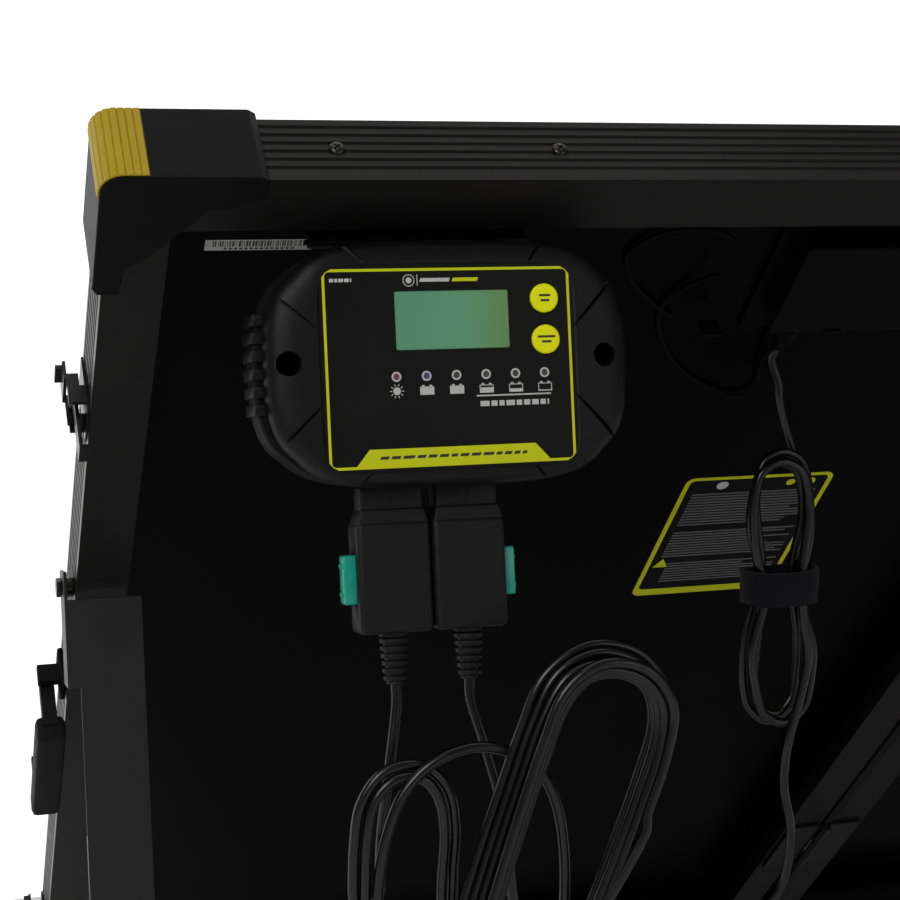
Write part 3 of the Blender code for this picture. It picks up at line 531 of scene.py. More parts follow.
last = [e0 + e_dir * 2 + Vector((1, -2, 0)), e0 + e_dir * 14, Vector((e0.x - 11, e0.y, e0.z - 42)), e1]
bpts = smooth_route(relax(smooth_route(first + mid[6::4] + last, 3.6), 12.0), 3.6)

# junction lead: drop, flat turns pinched under the strap, then the sag back up to the second plug
hx, hy = j_exit.x + 14.0, j_exit.y + 21.0
H_TOP, H_BOT, H_TIE = j_exit.z - 47.0, j_exit.z - 255.0, j_exit.z - 150.0
up, dn = H_TOP - H_TIE, H_TIE - H_BOT
hw = lambda p: Vector((hx + p[0], hy - p[2], H_TIE + p[1]))
mid = []
u0_, u1_ = 50 / 360, 3 + 128 / 360
u = u0_
while u <= u1_:
    a = 2 * math.pi * u
    ht = up - 5 - 8 * (0.5 + 0.5 * math.sin(u * 2.4 + 0.4))
    hb = dn - 5 - 11 * (0.5 + 0.5 * math.sin(u * 1.9 + 2.0))
    wd = 21.0 + 4.2 * math.sin(u * 2.9 + 0.6)
    y = math.cos(a) * (ht if math.cos(a) > 0 else hb)
    x = math.copysign(abs(math.sin(a)) ** 0.82, math.sin(a)) * wd * (1 - 0.50 * math.exp(-(y / 27) ** 2)) + 2.5 * math.sin(u * 1.7) * y / ht
    mid.append(hw((x, y, -9.2 + 18.4 * (u - u0_) / (u1_ - u0_))))
    u += 0.02
j0 = j_exit + down_sheet * 0.3
first = [j0, j0 + down_sheet * 12, Vector((hx - 3, hy, j_exit.z - 24)), Vector((hx + 3, hy + 7, H_TOP + 6))]
q0 = p_exit + down_ctrl * 0.3
last = [Vector(v) for v in ((hx + 5, hy - 7, H_BOT + 8), (hx + 4, hy - 4, H_BOT - 10), (hx + 6, hy, H_BOT - 27), (hx + 12, hy + 2, H_BOT - 58),
                            (hx + 6, hy + 8, H_BOT - 98), (hx - 32, hy + 10, H_BOT - 130), (hx - 88, hy - 6, H_BOT - 138),
                            (hx - 143, hy - 45, H_BOT - 120), (hx - 188, hy - 92, H_BOT - 86), (q0.x + 30, hy - 132, H_BOT - 34),
                            (q0.x + 14, q0.y - 13, q0.z - 74), (q0.x + 6, q0.y - 8, q0.z - 38))] + [q0 + down_ctrl * 14, q0]
jpts = smooth_route(relax(smooth_route(first + mid[1::3] + last, 3.6), 12.0), 3.6)



def cord_mesh(name, pts):
    """The cord's tube as a mesh."""
    o = curve_tube(name + "_line", pts, CORD, M_CORD, None, res=3)
    dg = bpy.context.evaluated_depsgraph_get()
    me = bpy.data.meshes.new_from_object(o.evaluated_get(dg))
    bpy.data.objects.remove(o, do_unlink=True)
    bm = bmesh.new()
    bm.from_mesh(me)
    bmesh.ops.remove_doubles(bm, verts=bm.verts, dist=1e-6)
    bmesh.ops.recalc_face_normals(bm, faces=bm.faces)
    bm.to_mesh(me)
    bm.free()
    me.name = name
    o = link(bpy.data.objects.new(name, me), M_CORD)
    return o


bl = cord_mesh("battery_cord", bpts)
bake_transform(bl)
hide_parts("battery_lead", "battery_lead_hank", "battery_lead_end")
jl = cord_mesh("junction_cord", jpts)
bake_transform(jl)
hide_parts("junction_lead_drop", "junction_lead_hank", "junction_lead_tail")
print("CORDS", round(length_of(bpts)), round(length_of(jpts)))


# strap: a soft band round the bundle
def band(name, hw_, hd, z0, z1, thick, m_, body):
    ring = []
    for k in range(48):
        a = 2 * math.pi * k / 48
        c, s_ = math.cos(a), math.sin(a)
        ring.append((math.copysign(abs(c) ** 0.62, c), math.copysign(abs(s_) ** 0.62, s_), a))
    verts, faces = [], []
    rows = 7
    for side in (0, 1):
        for r in range(rows):
            f = r / (rows - 1)
            for c, s_, a in ring:
                t = thick * side
                bulge = 0.6 * math.sin(math.pi * f) + 0.7 * noise.noise(Vector((a * 2.0, f * 3, side)))
                wx = hw_ + t + bulge + 0.9 * (f - 0.5)
                wy = hd + t + bulge
                verts.append((hx + c * wx, hy + s_ * wy, z0 + (z1 - z0) * f + 0.8 * math.sin(a * 2 + 1) + 1.2 * c * 0.5))
    n_ = 48
    for side in (0, 1):
        for r in range(rows - 1):
            for k in range(n_):
                b_ = side * rows * n_ + r * n_
                q = [b_ + k, b_ + (k + 1) % n_, b_ + n_ + (k + 1) % n_, b_ + n_ + k]
                faces.append(q if side else q[::-1])
    for r in (0, rows - 1):
        for k in range(n_):
            i_, o_ = r * n_, rows * n_ + r * n_
            q = [i_ + k, i_ + (k + 1) % n_, o_ + (k + 1) % n_, o_ + k]
            faces.append(q)
    o = mesh_from(name, verts, faces)
    return link(o, m_, body)


sb = band("cable_strap_band", 21.6, 12.6, H_TIE - 10.5, H_TIE + 10.5, 2.0, M_STRAP, "half_a")
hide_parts("cable_strap")

# ---------------------------------------------------------------- charge controller shell
C_TOP, CW, CH = 6.0, 190.0, 118.5
C_BACK, C_SPLIT, C_FACE = -4.0, -22.0, -42.0
CY = C_TOP + CH / 2
CT_M = CTRL @ Matrix.Translation((CT * MM, CY * MM, 0))  # centre of the face; x right, y down, z back


def loop_outline(w, h, bulge, z, cy=0.0, n=144, p_=4.0):
    """Case outline at a depth: a rounded body that bows out at the ears."""
    pts = []
    for k in range(n):
        a = 2 * math.pi * k / n
        c, s_ = math.cos(a), math.sin(a)
        q = (abs(c / w) ** p_ + abs(s_ / h) ** p_) ** (-1 / p_)
        x, y = q * c, q * s_
        ear = max(0.0, 1 - (abs(y) / 44.0) ** 2.4)
        if abs(x) > w * 0.72 and ear > 0:
            x += math.copysign(bulge * ear ** 0.6 * ease((abs(x) / w - 0.72) / 0.2), x)
        pts.append((x, y + cy, z))
    return pts


def shell(name, rings, m_, body, close=True):
    verts = [p for r in rings for p in r]
    n = len(rings[0])
    faces = []
    for i in range(len(rings) - 1):
        for k in range(n):
            k2 = (k + 1) % n
            faces.append([i * n + k, i * n + k2, (i + 1) * n + k2, (i + 1) * n + k])
    if close:
        faces.append(list(range(n)))
        faces.append([(len(rings) - 1) * n + k for k in range(n)][::-1])
    o = mesh_from(name, verts, faces, CT_M)
    return link(o, m_, body)


# front cover: crowned rim that rises to a recessed flat for the face film
FW, FH, FX, FY = 63.2, 49.1, 1.8, 1.2  # half size and centre of the flat face, from the case's centre


def rrect(w, h, r, cx=0.0, cy=0.0, n=144, z=0.0):
    pts = []
    for k in range(n):
        a = 2 * math.pi * k / n
        c, s_ = math.cos(a), math.sin(a)
        p_ = 9.0
        q = (abs(c / w) ** p_ + abs(s_ / h) ** p_) ** (-1 / p_)
        pts.append((cx + q * c, cy + q * s_, z))
    return pts


def lerp_ring(f, z, grow=0.0):
    o = [(p[0] + (2.8 if p[0] < 0 else 5.8), p[1], p[2]) for p in loop_outline(85.6 - grow, 61.0 - grow, 6.8, 0.0, cy=-1.2)]
    i = rrect(FW + 3.2, FH + 2.4, 4, FX, FY)
    return [(p[0] * (1 - f) + q[0] * f, p[1] * (1 - f) + q[1] * f, z) for p, q in zip(o, i)]


rings = [lerp_ring(0.0, C_SPLIT, 1.6), lerp_ring(0.0, C_SPLIT - 0.5, 0.3), lerp_ring(0.0, C_SPLIT - 1.4), lerp_ring(0.0, -30.0), lerp_ring(0.03, -33.0),
         lerp_ring(0.09, -35.8), lerp_ring(0.19, -38.0), lerp_ring(0.33, -39.8), lerp_ring(0.52, -41.0), lerp_ring(0.75, -41.7), lerp_ring(0.93, -41.95),
         lerp_ring(1.0, -42.0), rrect(FW + 2.9, FH + 2.1, 4, FX, FY, z=-41.9), rrect(FW + 2.1, FH + 1.4, 4, FX, FY, z=-41.25),
         rrect(FW + 1.8, FH + 1.1, 4, FX, FY, z=-41.2)]
cover = shell("controller_cover_shell", rings, M_CASE, None, close=True)
# cut the four diagonal grooves, ear holes, display and button openings
cutters = []


def cutter(o):
    bpy.context.scene.collection.objects.link(o)
    cutters.append(o)
    return o


for (x0, y0), (x1, y1) in (((-50.6, -60.3), (-41.2, -50.9)), ((51.3, -59.3), (44.6, -50.9)), ((-50.6, 61.2), (-40.9, 52.2)), ((51.3, 60.0), (43.6, 51.6)),
                           ((-87.5, -38.9), (-64.6, -18.0)), ((-87.6, 41.5), (-64.6, 19.0)), ((86.6, -38.0), (67.2, -18.0)), ((86.2, 37.5), (67.0, 17.4))):
    d = Vector((x1 - x0, y1 - y0, 0)).normalized()
    nrm = Vector((-d.y, d.x, 0))
    a_, b_ = Vector((x0, y0, 0)) - d * 3, Vector((x1, y1, 0)) + d * 0.6
    vs = []
    for p, wd, zf in ((a_, 1.35, -34.6), (b_, 0.75, -41.0)):
        vs += [(p + nrm * wd * 1.5).to_tuple()[:2] + (-48.0,), (p - nrm * wd * 1.5).to_tuple()[:2] + (-48.0,),
               (p - nrm * wd * 0.6).to_tuple()[:2] + (zf,), (p + nrm * wd * 0.6).to_tuple()[:2] + (zf,)]
    cutter(mesh_from("g", vs, [[0, 1, 2, 3], [4, 5, 6, 7], [0, 1, 5, 4], [1, 2, 6, 5], [2, 3, 7, 6], [3, 0, 4, 7]], CT_M))
for sx in (-1, 1):
    cutter(lathe("h", (-78.6 if sx < 0 else 83.0, -2.6, -50), (0, 0, 1), [(0, 6.1), (22, 6.1)], 32, CT_M))
cutter(rbox("d", (-26.2, -36.7, -46), (33.2, -6.9, -36), CT_M, 0))
for by in (-31.5, -11.0):
    cutter(lathe("b", (51.5, by, -48), (0, 0, 1), [(0, 7.7), (12, 7.7)], 36, CT_M))
for c_ in cutters:
    m_ = cover.modifiers.new("cut", "BOOLEAN")
    m_.object = c_
    m_.solver = "EXACT"
apply_mods(cover)
for c_ in cutters:
    bpy.data.objects.remove(c_, do_unlink=True)
cover.data.materials.clear()
cover.data.materials.append(M_CASE)
cover.data.shade_smooth()
cover.data.set_sharp_from_angle(angle=math.radians(30))
wn = cover.modifiers.new("wn", "WEIGHTED_NORMAL")
wn.keep_sharp = True
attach(cover, "controller")
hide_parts("controller_front_cover")
# painted shade: black discs behind the ear holes stand in for the shadow inside them
for i, sx in enumerate((-1, 1)):
    o = lathe(f"ear_shade_disc_{i}", (-78.6 if sx < 0 else 83.0, -2.6, -30.5), (0, 0, 1), [(0, 6.4), (0.8, 6.4)], 32, CT_M)
    link(o, M_EAR_HOLE_SHADE, "controller")
    o = lathe(f"ear_rim_{i}", (-78.6 if sx < 0 else 83.0, -2.6, -38.7), (0, 0, 1), [(3, 6.02), (3, 6.9), (0, 6.9), (-0.35, 6.75), (-0.45, 6.4), (-0.2, 6.02), (3, 6.02)], 36, CT_M, caps=False)
    link(o, M_CASE, "controller")

# rear case with vertical cooling fins round its sides
rear = [loop_outline(87.0 - i, 58.9 - i, 6.4, z) for i, z in [(9.0, C_BACK), (2.6, C_BACK - 0.8), (0.6, C_BACK - 2.8), (0.0, C_BACK - 5.0), (0.0, C_SPLIT - 4.0), (1.0, C_SPLIT - 5.2)]]
rc = shell("controller_rear_shell", rear, M_CASE, "controller")
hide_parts("controller_rear_case")
for sx, side in ((-1, "l"), (1, "r")):
    for k in range(6):
        y = -24.6 + k * 8.7
        x0 = 87.0 + 6.4 * max(0.0, 1 - (abs(y) / 44.0) ** 2.4) ** 0.6
        xs = sorted((sx * (x0 - 5), sx * min(x0 + 1.7, 95.4)))
        o = rbox(f"case_fin_{side}{k}", (xs[0], y - 2.9, -30.5), (xs[1], y + 2.9, -7.0), CT_M, 0.9)
        link(o, M_CASE, "controller")

# ---- face film with its border, bar, marks and indicators
Z0 = -41.25


def film(name, pts, t, m_, z=Z0):
    o = prism(name, pts, z - t, z, CT_M, 0.0)
    return link(o, m_, "controller", smooth=False)


def rr(w, h, r, cx, cy, per=6):
    pts = []
    for sx, sy, a0 in ((1, 1, 0), (-1, 1, 90), (-1, -1, 180), (1, -1, 270)):
        for k in range(per + 1):
            a = math.radians(a0 + 90 * k / per)
            pts.append((cx + sx * (w - r) + r * math.cos(a), cy + sy * (h - r) + r * math.sin(a)))
    return pts


def plate_with_holes(name, outer, holes, t, m_, z=Z0):
    """Flat plate with openings, from a filled 2D curve."""
    cu = bpy.data.curves.new(name, "CURVE")
    cu.dimensions = "2D"
    cu.fill_mode = "BOTH"
    cu.extrude = t / 2 * MM
    for pts in [outer] + holes:
        sp = cu.splines.new("POLY")
        sp.points.add(len(pts) - 1)
        for p, q in zip(sp.points, pts):
            p.co = (q[0] * MM, q[1] * MM, 0, 1)
        sp.use_cyclic_u = True
    tmp = bpy.data.objects.new(name, cu)
    bpy.context.scene.collection.objects.link(tmp)
    dg = bpy.context.evaluated_depsgraph_get()
    me = bpy.data.meshes.new_from_object(tmp.evaluated_get(dg))
    bpy.data.objects.remove(tmp, do_unlink=True)
    bm = bmesh.new()
    bm.from_mesh(me)
    bmesh.ops.remove_doubles(bm, verts=bm.verts, dist=1e-7)
    bmesh.ops.transform(bm, matrix=CT_M @ Matrix.Translation((0, 0, (z - t / 2) * MM)), verts=bm.verts)
    bmesh.ops.recalc_face_normals(bm, faces=bm.faces)
    bm.to_mesh(me)
    bm.free()
    me.name = name
    return link(bpy.data.objects.new(name, me), m_, "controller", smooth=False)


circ = lambda cx, cy, r, n=32: [(cx + r * math.cos(2 * math.pi * k / n), cy + r * math.sin(2 * math.pi * k / n)) for k in range(n)]
openings = [rr(29.7, 14.9, 1.2, 3.5, -21.8), circ(51.5, -31.5, 7.75, 40), circ(51.5, -11.0, 7.75, 40)]
plate_with_holes("face_film_sheet", rr(FW + 1.6, FH + 1.0, 3.6, FX, FY), openings, 0.35, M_FILM)
plate_with_holes("face_border", rr(FW, FH - 0.6, 3.0, FX, FY), [rr(FW - 1.35, FH - 1.95, 2.2, FX, FY)], 0.14, M_YLINE, Z0 - 0.35)
# lower bar with slanted ends
by0, by1 = FY + FH - 10.0, FY + FH - 1.4
film("face_bar", [(FX - 50, by1), (FX - 43, by0), (FX + 42, by0), (FX + 50, by1)], 0.16, M_YLINE, Z0 - 0.35)
# plain strokes stand where wording was
random.seed(11)


def strokes(name, x0, x1, y, h, m_, words, z=Z0 - 0.5, slant=0.0, gap=0.5):
    objs = []
    x = x0
    while x < x1:
        wl = random.uniform(2.6, 6.0) if words else random.uniform(1.4, 2.4)
        wl = min(wl, x1 - x)
        if wl < 0.6:
            break
        objs.append(prism("s", [(x + slant, y - h / 2), (x + wl + slant, y - h / 2), (x + wl, y + h / 2), (x, y + h / 2)], z - 0.08, z, CT_M))
        x += wl + gap + (0.5 if words else 0.0)
    o = join(name, objs)
    return link(o, m_, "controller", smooth=False)


strokes("bar_marks", FX - 38, FX + 37, (by0 + by1) / 2, 1.5, M_INK, True, slant=0.8, gap=0.9)
strokes("face_note_1", FX - 59.5, FX - 48.5, FY - FH + 6.0, 1.7, M_WHITE, False)
strokes("face_note_2", 16.0, 51.8, 19.9, 2.6, M_WHITE, True)
film("face_rule", [(14.2, 15.6), (53.0, 15.6), (53.0, 16.3), (14.2, 16.3)], 0.1, M_WHITE, Z0 - 0.4)
# a plain sun-and-line mark in place of the name
bits = []
for k in range(16):
    a0, a1 = 2 * math.pi * k / 16, 2 * math.pi * (k + 0.62) / 16
    c0 = [(-18 + r * math.cos(a), -41.4 + r * math.sin(a)) for r, a in ((2.5, a0), (3.1, a0), (3.1, a1), (2.5, a1))]
    bits.append(prism("m", c0, Z0 - 0.45, Z0 - 0.35, CT_M))
bits.append(prism("m", circ(-18, -41.4, 1.5, 20), Z0 - 0.45, Z0 - 0.35, CT_M))
link(join("face_mark", bits), M_WHITE, "controller", smooth=False)
for i, (a, b_, mm_) in enumerate(((-12.5, 2.5, M_WHITE), (4.0, 17.0, M_YLINE))):
    film(f"face_dash_{i}", [(a + 0.6, -42.4), (b_ + 0.6, -42.4), (b_, -40.6), (a, -40.6)], 0.1, mm_, Z0 - 0.35)
film("face_tick", [(-13.9, -44.2), (-13.5, -44.2), (-13.5, -38.8), (-13.9, -38.8)], 0.1, M_WHITE, Z0 - 0.35)
# indicators: ring, lens and a small pictogram under each
LX = [-26.2 + 15.27 * k for k in range(6)]
for i, x in enumerate(LX):
    plate_with_holes(f"led_ring_{i}", circ(x, 5.4, 2.45), [circ(x, 5.4, 1.6)], 0.14, M_WHITE, Z0 - 0.35)
    o = lathe(f"led_lens_{i}", (x, 5.4, Z0 - 0.30), (0, 0, -1), [(0, 1.62), (0.35, 1.5), (0.6, 1.0), (0.68, 0.3)], 20, CT_M)
    link(o, M_LED_R if i == 0 else M_LED_B if i == 1 else M_LED, "controller")
    if i == 0:
        parts = [prism("p", circ(x, 12.4, 1.9, 24), Z0 - 0.47, Z0 - 0.35, CT_M)]
        for k in range(10):
            a = 2 * math.pi * k / 10
            c, s_ = math.cos(a), math.sin(a)
            parts.append(prism("p", [(x + c * 2.5 - s_ * 0.26, 12.4 + s_ * 2.5 + c * 0.26), (x + c * 3.7 - s_ * 0.1, 12.4 + s_ * 3.7 + c * 0.1),
                                     (x + c * 3.7 + s_ * 0.1, 12.4 + s_ * 3.7 - c * 0.1), (x + c * 2.5 + s_ * 0.26, 12.4 + s_ * 2.5 - c * 0.26)],
                               Z0 - 0.47, Z0 - 0.35, CT_M))
    else:
        fill = {1: 1.0, 2: 1.0, 3: 0.72, 4: 0.45, 5: 0.16}[i]
        y0_, y1_ = 10.9, 14.6
        parts = [prism("p", [(x - 3.6, y1_ - (y1_ - y0_) * fill), (x + 3.6, y1_ - (y1_ - y0_) * fill), (x + 3.6, y1_), (x - 3.6, y1_)], Z0 - 0.47, Z0 - 0.35, CT_M)]
        for xa, xb, ya, yb in ((-3.6, -3.2, y0_, y1_), (3.2, 3.6, y0_, y1_), (-3.6, 3.6, y0_ - 0.3, y0_ + 0.1), (-2.6, -1.2, y0_ - 1.1, y0_), (1.2, 2.6, y0_ - 1.1, y0_)):
            parts.append(prism("p", [(x + xa, ya), (x + xb, ya), (x + xb, yb), (x + xa, yb)], Z0 - 0.46, Z0 - 0.34, CT_M))
    link(join(f"pictogram_{i}", parts), M_WHITE, "controller", smooth=False)
# display bezel and crisp button caps
plate_with_holes("display_bezel", rr(30.4, 15.6, 1.4, 3.5, -21.8), [rr(29.1, 14.3, 1.0, 3.5, -21.8)], 0.25, M_FILM, Z0 - 0.2)
for nm, by, body in (("display_button_cap", -31.5, "display_button"), ("battery_button_cap", -11.0, "battery_button")):
    o = lathe(nm, (51.5, by, C_FACE + 1.2), (0, 0, -1), [(0, 7.25), (1.6, 7.25), (2.15, 7.0), (2.45, 6.5), (2.5, 6.0), (2.42, 3.0), (2.4, 0.1)], 48, CT_M)
    link(o, M_YBTN, body)
    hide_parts(nm.replace("_cap", ""))
    for r_, (dy_, wd_) in enumerate(((-1.3, 2.9), (1.2, 2.3)) if by < -20 else ((-1.3, 4.6), (1.2, 2.5))):
        o = prism(nm + f"_mark{r_}", [(51.5 - wd_, by + dy_ - 0.55), (51.5 + wd_, by + dy_ - 0.55), (51.5 + wd_, by + dy_ + 0.55), (51.5 - wd_, by + dy_ + 0.55)],
                  C_FACE - 1.30, C_FACE - 1.15, CT_M)
        link(o, M_INK, body, smooth=False)

# ---------------------------------------------------------------- softened copies of hard-edged CAD pieces
def refined(node, body, m, width=0.7, segs=2, angle=32):
    src = N[node]
    me = src.data.copy()
    me.transform(src.matrix_world)
    bm = bmesh.new()
    bm.from_mesh(me)
    bmesh.ops.remove_doubles(bm, verts=bm.verts, dist=2e-6)
    bmesh.ops.dissolve_limit(bm, angle_limit=math.radians(1.0), verts=bm.verts, edges=bm.edges)
    bm.to_mesh(me)
    bm.free()
    o = bpy.data.objects.new(node + "_soft", me)
    bpy.context.scene.collection.objects.link(o)
    bv = o.modifiers.new("edge", "BEVEL")
    bv.width = width * MM
    bv.segments = segs
    bv.limit_method = "ANGLE"
    bv.angle_limit = math.radians(angle)
    bv.use_clamp_overlap = True
    bv.harden_normals = False
    apply_mods(o)
    link(o, m, body)
    wn_ = o.modifiers.new("wn", "WEIGHTED_NORMAL")
    wn_.keep_sharp = True
    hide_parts(node)
    return o


for pre in ("a", "b"):
    for e in ("top", "bottom"):
        for side in (("latch", "hinge") if pre == "a" else ("hinge", "keeper")):
            refined(f"{pre}_guard_{e}_{side}", "half_" + pre, M_GUARD, 0.9, 3)
refined("leg_a", "leg_a", M_LEG, 0.35, 2)
refined("leg_b", "leg_b", M_LEG, 0.35, 2)
for e in ("upper", "lower"):
    refined("latch_base_" + e, "half_a", M_BLACKSTEEL, 0.3)
    refined("latch_lever_" + e, "latch_lever_" + e, M_BLACKSTEEL, 0.3)
    refined("latch_bail_" + e, "latch_bail_" + e, M_BLACKSTEEL, 0.3)
    refined("handle_bracket_" + e, "half_a", M_GUARD, 0.8)
refined("handle_grip", "handle", M_GRIP, 1.2, 3)
refined("junction_box", "half_a", M_JB, 0.7, 2)
refined("junction_box_lid", "half_a", M_JB, 0.9, 2)
refined("b_junction_box", "half_b", M_JB, 0.9, 2)
refined("leg_bolt_a", "half_a", M_ZINC, 0.5, 2)
refined("leg_bolt_b", "half_b", M_ZINC, 0.5, 2)


# ---- ribbed yellow insert round each frame corner
def rib_insert(name, ct, cs, st, ss, body):
    P_, R_ = 5.0, 11.0
    path = []
    n1 = 70
    for i in range(n1):
        path.append(((18.0 - (12.0) * i / n1, -P_), (0, -1)))
    for i in range(90):
        a = math.radians(-90 - 90 * i / 90)
        path.append(((-P_ + R_ + R_ * math.cos(a), -P_ + R_ + R_ * math.sin(a)), (math.cos(a), math.sin(a))))
    for i in range(30):
        path.append(((-P_, -P_ + R_ + 4.0 * i / 29), (-1, 0)))
    acc, outer, inner = 0.0, [], []
    prev = None
    total = sum((Vector(b[0]) - Vector(a[0])).length for a, b in zip(path, path[1:]))
    for (p, nn) in path:
        p = Vector(p)
        if prev is not None:
            acc += (p - prev).length
        prev = p
        ph = (acc / total * 9.0) % 1.0
        d = 0.12 + 0.72 * ease(min(ph, 1 - ph) / 0.17)
        if acc < 0.3 or acc > total - 0.3:
            d = 0.0
        outer.append(p + Vector(nn) * d)
        inner.append(p - Vector(nn) * 0.8)
    pts = [(ct + st * v.x, cs + ss * v.y) for v in outer + inner[::-1]]
    o = prism(name, pts, -2.5, 43.0, PANEL, 0.0)
    return link(o, M_YELLOW, body, smooth=True)


T_B = W + FOLD_GAP
for pre, t0, ln, rn in (("a", 0, "latch", "hinge"), ("b", T_B, "hinge", "keeper")):
    for e, cs, ss in (("top", 0, 1), ("bottom", L, -1)):
        rib_insert(f"{pre}_corner_ribs_{e}_{ln}", t0, cs, 1, ss, "half_" + pre)
        rib_insert(f"{pre}_corner_ribs_{e}_{rn}", t0 + W, cs, -1, ss, "half_" + pre)


# ---- cross-head screws
def screw(name, m, pos, axis, r, body):
    a, d = Vector(pos), Vector(axis).normalized()
    head = lathe(name, a - d * 0.4, d, [(0, r), (0.5, r), (1.15, r * 0.93), (1.75, r * 0.72), (2.0, r * 0.45), (2.05, 0.05)], 28, m)
    u = d.orthogonal().normalized()
    v = d.cross(u)
    bpy.context.scene.collection.objects.link(head)
    for e1, e2 in ((u, v), (v, u)):
        vs = []
        for sz in (-1, 1):
            for sx_, sy_ in ((-1, -1), (1, -1), (1, 1), (-1, 1)):
                vs.append(a + d * (1.6 + 1.4 * sz) + e1 * sx_ * r * 0.56 + e2 * sy_ * r * 0.11)
        c_ = mesh_from("x", vs, [[0, 1, 2, 3], [7, 6, 5, 4], [0, 4, 5, 1], [1, 5, 6, 2], [2, 6, 7, 3], [3, 7, 4, 0]], m)
        bpy.context.scene.collection.objects.link(c_)
        mo = head.modifiers.new("c", "BOOLEAN")
        mo.object = c_
        mo.operation = "DIFFERENCE"
        mo.solver = "EXACT"
        apply_mods(head)
        bpy.data.objects.remove(c_, do_unlink=True)
    return link(head, M_ZINC, body)


for k, t_ in enumerate((111.1, 225.9, 442.0, 557.0)):
    screw(f"a_rail_screw_{k}", PANEL, (t_, 0.0, 21.8), (0, -1, 0), 4.1, "half_a")
    screw(f"b_rail_screw_{k}", PANEL, (T_ALL - t_, 0.0, 21.8), (0, -1, 0), 4.1, "half_b")

# ---- ribbed strain reliefs, collars and edge lips on the two plugs
for nm, px in PLUG_X.items():
    x, body = CT + px, "controller"
    prof = [(0, 7.4), (2.6, 7.4), (2.9, 6.2)]
    z = 3.6
    for k in range(6):
        r_ = 7.35 - 0.28 * k
        prof += [(z, r_ - 1.6), (z + 0.25, r_ - 0.1), (z + 0.7, r_), (z + 2.0, r_ - 0.02), (z + 2.35, r_ - 0.2), (z + 2.5, r_ - 1.7)]
        z += 3.75
    prof += [(z + 0.2, 4.6), (z + 0.6, 4.4), (z + 0.7, 2.9)]
    o = lathe(nm + "_strain_relief", (x, BOT + 73.5, PLUG_Z), (0, 1, 0), prof, 28, CTRL)
    link(o, M_PLUG, body)
    # hood: softened block with its sloped shoulder, and the neck
    hood = rbox(nm + "_hood_shell", (x - 18.9, BOT + 18.6, PLUG_Z - 10.5), (x + 18.9, BOT + 74.3, PLUG_Z + 10.3), CTRL, 3.0, 4)
    nk = rbox(nm + "_neck_shell", (x - 16.0, BOT + 1.0, PLUG_Z - 8.0), (x + 16.0, BOT + 21, PLUG_Z + 6.1), CTRL, 1.4, 3)
    fl = prism(nm + "_shoulder", [(x - 16.2, BOT + 12.5), (x + 16.2, BOT + 12.5), (x + 18.3, BOT + 19.5), (x + 18.3, BOT + 24), (x - 18.3, BOT + 24), (x - 18.3, BOT + 19.5)],
               PLUG_Z - 9.6, PLUG_Z + 7, CTRL, 1.2, 3)
    for q_ in (hood, nk, fl):
        link(q_, M_PLUG, body)
    side = -1 if nm == "battery" else 1
    e_ = x + side * 18.9
    pk = sorted((e_ - side * 8, e_ + side * 3))
    pocket = rbox("pk", (pk[0], BOT + 34.0, PLUG_Z - 5.0), (pk[1], BOT + 60.0, PLUG_Z + 5.0), CTRL, 0)
    bpy.context.scene.collection.objects.link(pocket)
    mo = hood.modifiers.new("c", "BOOLEAN")
    mo.object = pocket
    mo.solver = "EXACT"
    apply_mods(hood)
    bpy.data.objects.remove(pocket, do_unlink=True)
    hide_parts(nm + "_plug")
    # shallow raised mark on the neck: a plain ring
    ring = lathe(nm + "_neck_mark", (x - 2, BOT + 7.2, PLUG_Z - 8.0), (0, 0, -1), [(-0.3, 2.5), (0.35, 2.5), (0.35, 3.3), (-0.3, 3.3), (-0.3, 2.5)], 24, CTRL, caps=False)
    link(ring, M_PLUG, body)
    tb = sorted((e_ - side * 4.0, e_ + side * 6.3))
    tab = rbox(nm + "_tab_cap", (tb[0], BOT + 34.8, PLUG_Z - 4.6), (tb[1], BOT + 59.2, PLUG_Z + 4.6), CTRL, 1.1, 3)
    link(tab, M_TAB, nm + "_plug_latch")
    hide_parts(nm + "_plug_latch")
    for k in (0, 1):
        g_ = sorted((e_ + side * 5.6, e_ + side * 6.7))
        o = rbox(nm + f"_tab_ridge_{k}", (g_[0], BOT + 39 + 14 * k, PLUG_Z - 3.6), (g_[1], BOT + 41.4 + 14 * k, PLUG_Z + 3.6), CTRL, 0.2, 1)
        link(o, M_TAB, nm + "_plug_latch")


# ---- printed label and small code sticker on the back sheet
def flat(name, pts, z, t, m_, body="half_a"):
    o = prism(name, pts, z - t, z, PANEL)
    return link(o, m_, body, smooth=False)


def rrp(x0, y0, x1, y1, r):
    return [(x + (x0 + x1) / 2, y + (y0 + y1) / 2) for x, y in rr((x1 - x0) / 2, (y1 - y0) / 2, r, 0, 0)]


SH = SHEET - 0.05
flat("label_ground", rrp(396, 300, 506, 440, 7), SH, 0.12, M_LABEL)


def frame_plate(name, outer, hole, z, t, m_):
    o = plate_with_holes(name, outer, [hole], t, m_, 0.0)
    fix = PANEL @ Matrix.Translation((0, 0, (z + 0.0) * MM)) @ CT_M.inverted()
    o.data.transform(fix)
    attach(o, "half_a")
    return o


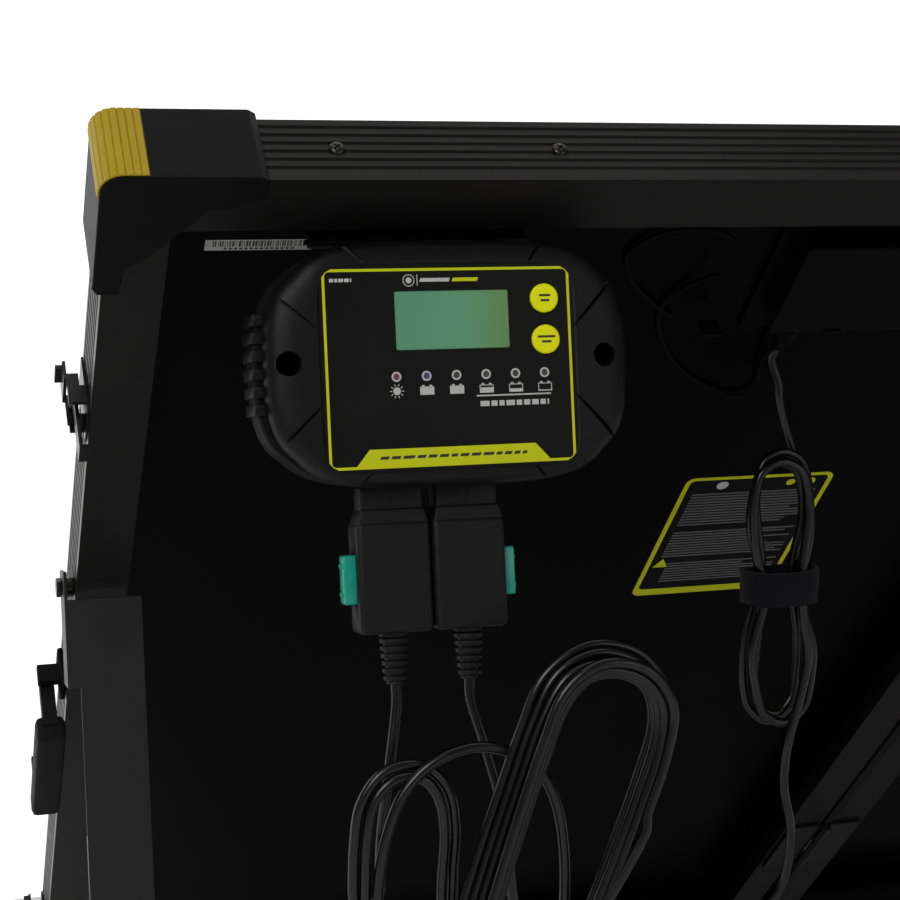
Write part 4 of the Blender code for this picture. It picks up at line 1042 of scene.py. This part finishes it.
frame_plate("label_border", rrp(397, 301, 505, 439, 6.5), rrp(400.4, 304, 501.6, 431.5, 4), SH - 0.12, 0.1, M_YLINE)
rows = []
random.seed(5)
y = 319.0
while y < 424:
    gap_ = y in () or 356 < y < 361 or 392 < y < 397
    if not gap_:
        x1_ = 497 - random.uniform(0, 26) if random.random() < 0.35 else 497
        rows.append(prism("r", [(413 if y > 396 else 406, y), (x1_, y), (x1_, y + 1.5), (413 if y > 396 else 406, y + 1.5)], SH - 0.22, SH - 0.12, PANEL))
    y += 3.1
link(join("label_lines", rows), M_GREYINK, "half_a", smooth=False)
for k, (x, y, r_) in enumerate(((425, 310.5, 4.2), (489, 310.5, 4.2), (475, 310.5, 3.2))):
    flat(f"label_dot_{k}", [(x + r_ * math.cos(2 * math.pi * i / 24), y + r_ * math.sin(2 * math.pi * i / 24)) for i in range(24)], SH - 0.12, 0.1, M_YLINE if k else M_WHITE)
flat("label_sign", [(403, 404), (408.5, 394), (414, 404)], SH - 0.12, 0.12, M_YLINE)
flat("code_sticker", [(56, 74), (112, 74), (112, 81.6), (56, 81.6)], SH, 0.12, M_WHITE)
bars = []
x = 60.0
while x < 109:
    wd = random.choice((0.35, 0.35, 0.7, 1.05))
    bars.append(prism("b", [(x, 74.7), (x + wd, 74.7), (x + wd, 78.8), (x, 78.8)], SH - 0.2, SH - 0.12, PANEL))
    x += wd + random.choice((0.4, 0.4, 0.8, 1.2))
for k in range(14):
    bars.append(prism("b", [(66 + k * 2.7, 79.6), (67.6 + k * 2.7, 79.6), (67.6 + k * 2.7, 80.9), (66 + k * 2.7, 80.9)], SH - 0.2, SH - 0.12, PANEL))
link(join("code_bars", bars), M_INK, "half_a", smooth=False)

# ---- thin wires from the sheet to the junction box
pm = lambda t_, s_, h_: at(PANEL, t_, s_, h_) / MM
for nm, pts in (("sheet_wire_0", [(352, 72, 24), (336, 66, 29), (310, 68, 30.5), (291, 84, 31), (300, 108, 31.2), (322, 130, 31.2), (334, 139, 31.5)]),
                ("sheet_wire_1", [(346, 96, 24), (334, 112, 30), (324, 131, 31), (334, 160, 31.2), (356, 188, 31.2), (384, 207, 31.2), (402, 214, 30.8),
                                  (410, 204, 30.8), (406, 187, 30.5), (404, 168, 26), (404, 158, 22)])):
    curve_tube(nm, smooth_route([pm(*p) for p in pts], 5.0), 2.6, M_JB, "half_a", 8)
# cable gland on the junction box where the lead leaves
o = lathe("junction_gland", (407.0, 69.0 + 67.0 - 1.0, SHEET - 8.5), (0, 1, 0),
          [(0, 6.6), (5.5, 6.6), (5.8, 7.6), (13.5, 7.6), (14.6, 7.0), (18.5, 5.4), (21.5, 4.4), (23.5, 3.6), (23.6, 2.9)], 12, PANEL)
link(o, M_JB, "half_a")
# lid catches
for k, dx in enumerate((-38, 38)):
    o = rbox(f"junction_lid_catch_{k}", (391 + dx - 6, 69 + 67 - 1.2, SHEET - 20), (391 + dx + 6, 69 + 67 + 1.6, SHEET - 9), PANEL, 0.5)
    link(o, M_JB, "half_a")

# ---- glass side: cells and busbars for both halves
for pre, M2 in (("a", PANEL), ("b", MIRROR)):
    body = "half_" + pre
    x0, x1, y0, y1 = 30.0, W - 30.0, 32.0, L - 32.0
    nx, ny = 4, 9
    cw, chh = (x1 - x0) / nx, (y1 - y0) / ny
    cells, bus, fingers = [], [], []
    for i in range(nx):
        for j in range(ny):
            a, b_ = x0 + i * cw + 1.2, y0 + j * chh + 1.2
            c, d = a + cw - 2.4, b_ + chh - 2.4
            k = 6.0
            cells.append(prism("c", [(a + k, b_), (c - k, b_), (c, b_ + k), (c, d - k), (c - k, d), (a + k, d), (a, d - k), (a, b_ + k)], 38.60, 38.66, M2))
        for q_ in (0.2, 0.4, 0.6, 0.8):
            xb = x0 + (i + q_) * cw
            bus.append(prism("b", [(xb - 0.8, y0), (xb + 0.8, y0), (xb + 0.8, y1), (xb - 0.8, y1)], 38.67, 38.73, M2))
    link(join(f"{pre}_cells", cells), M_CELL, body, smooth=False)
    link(join(f"{pre}_busbars", bus), M_SILVER, body, smooth=False)
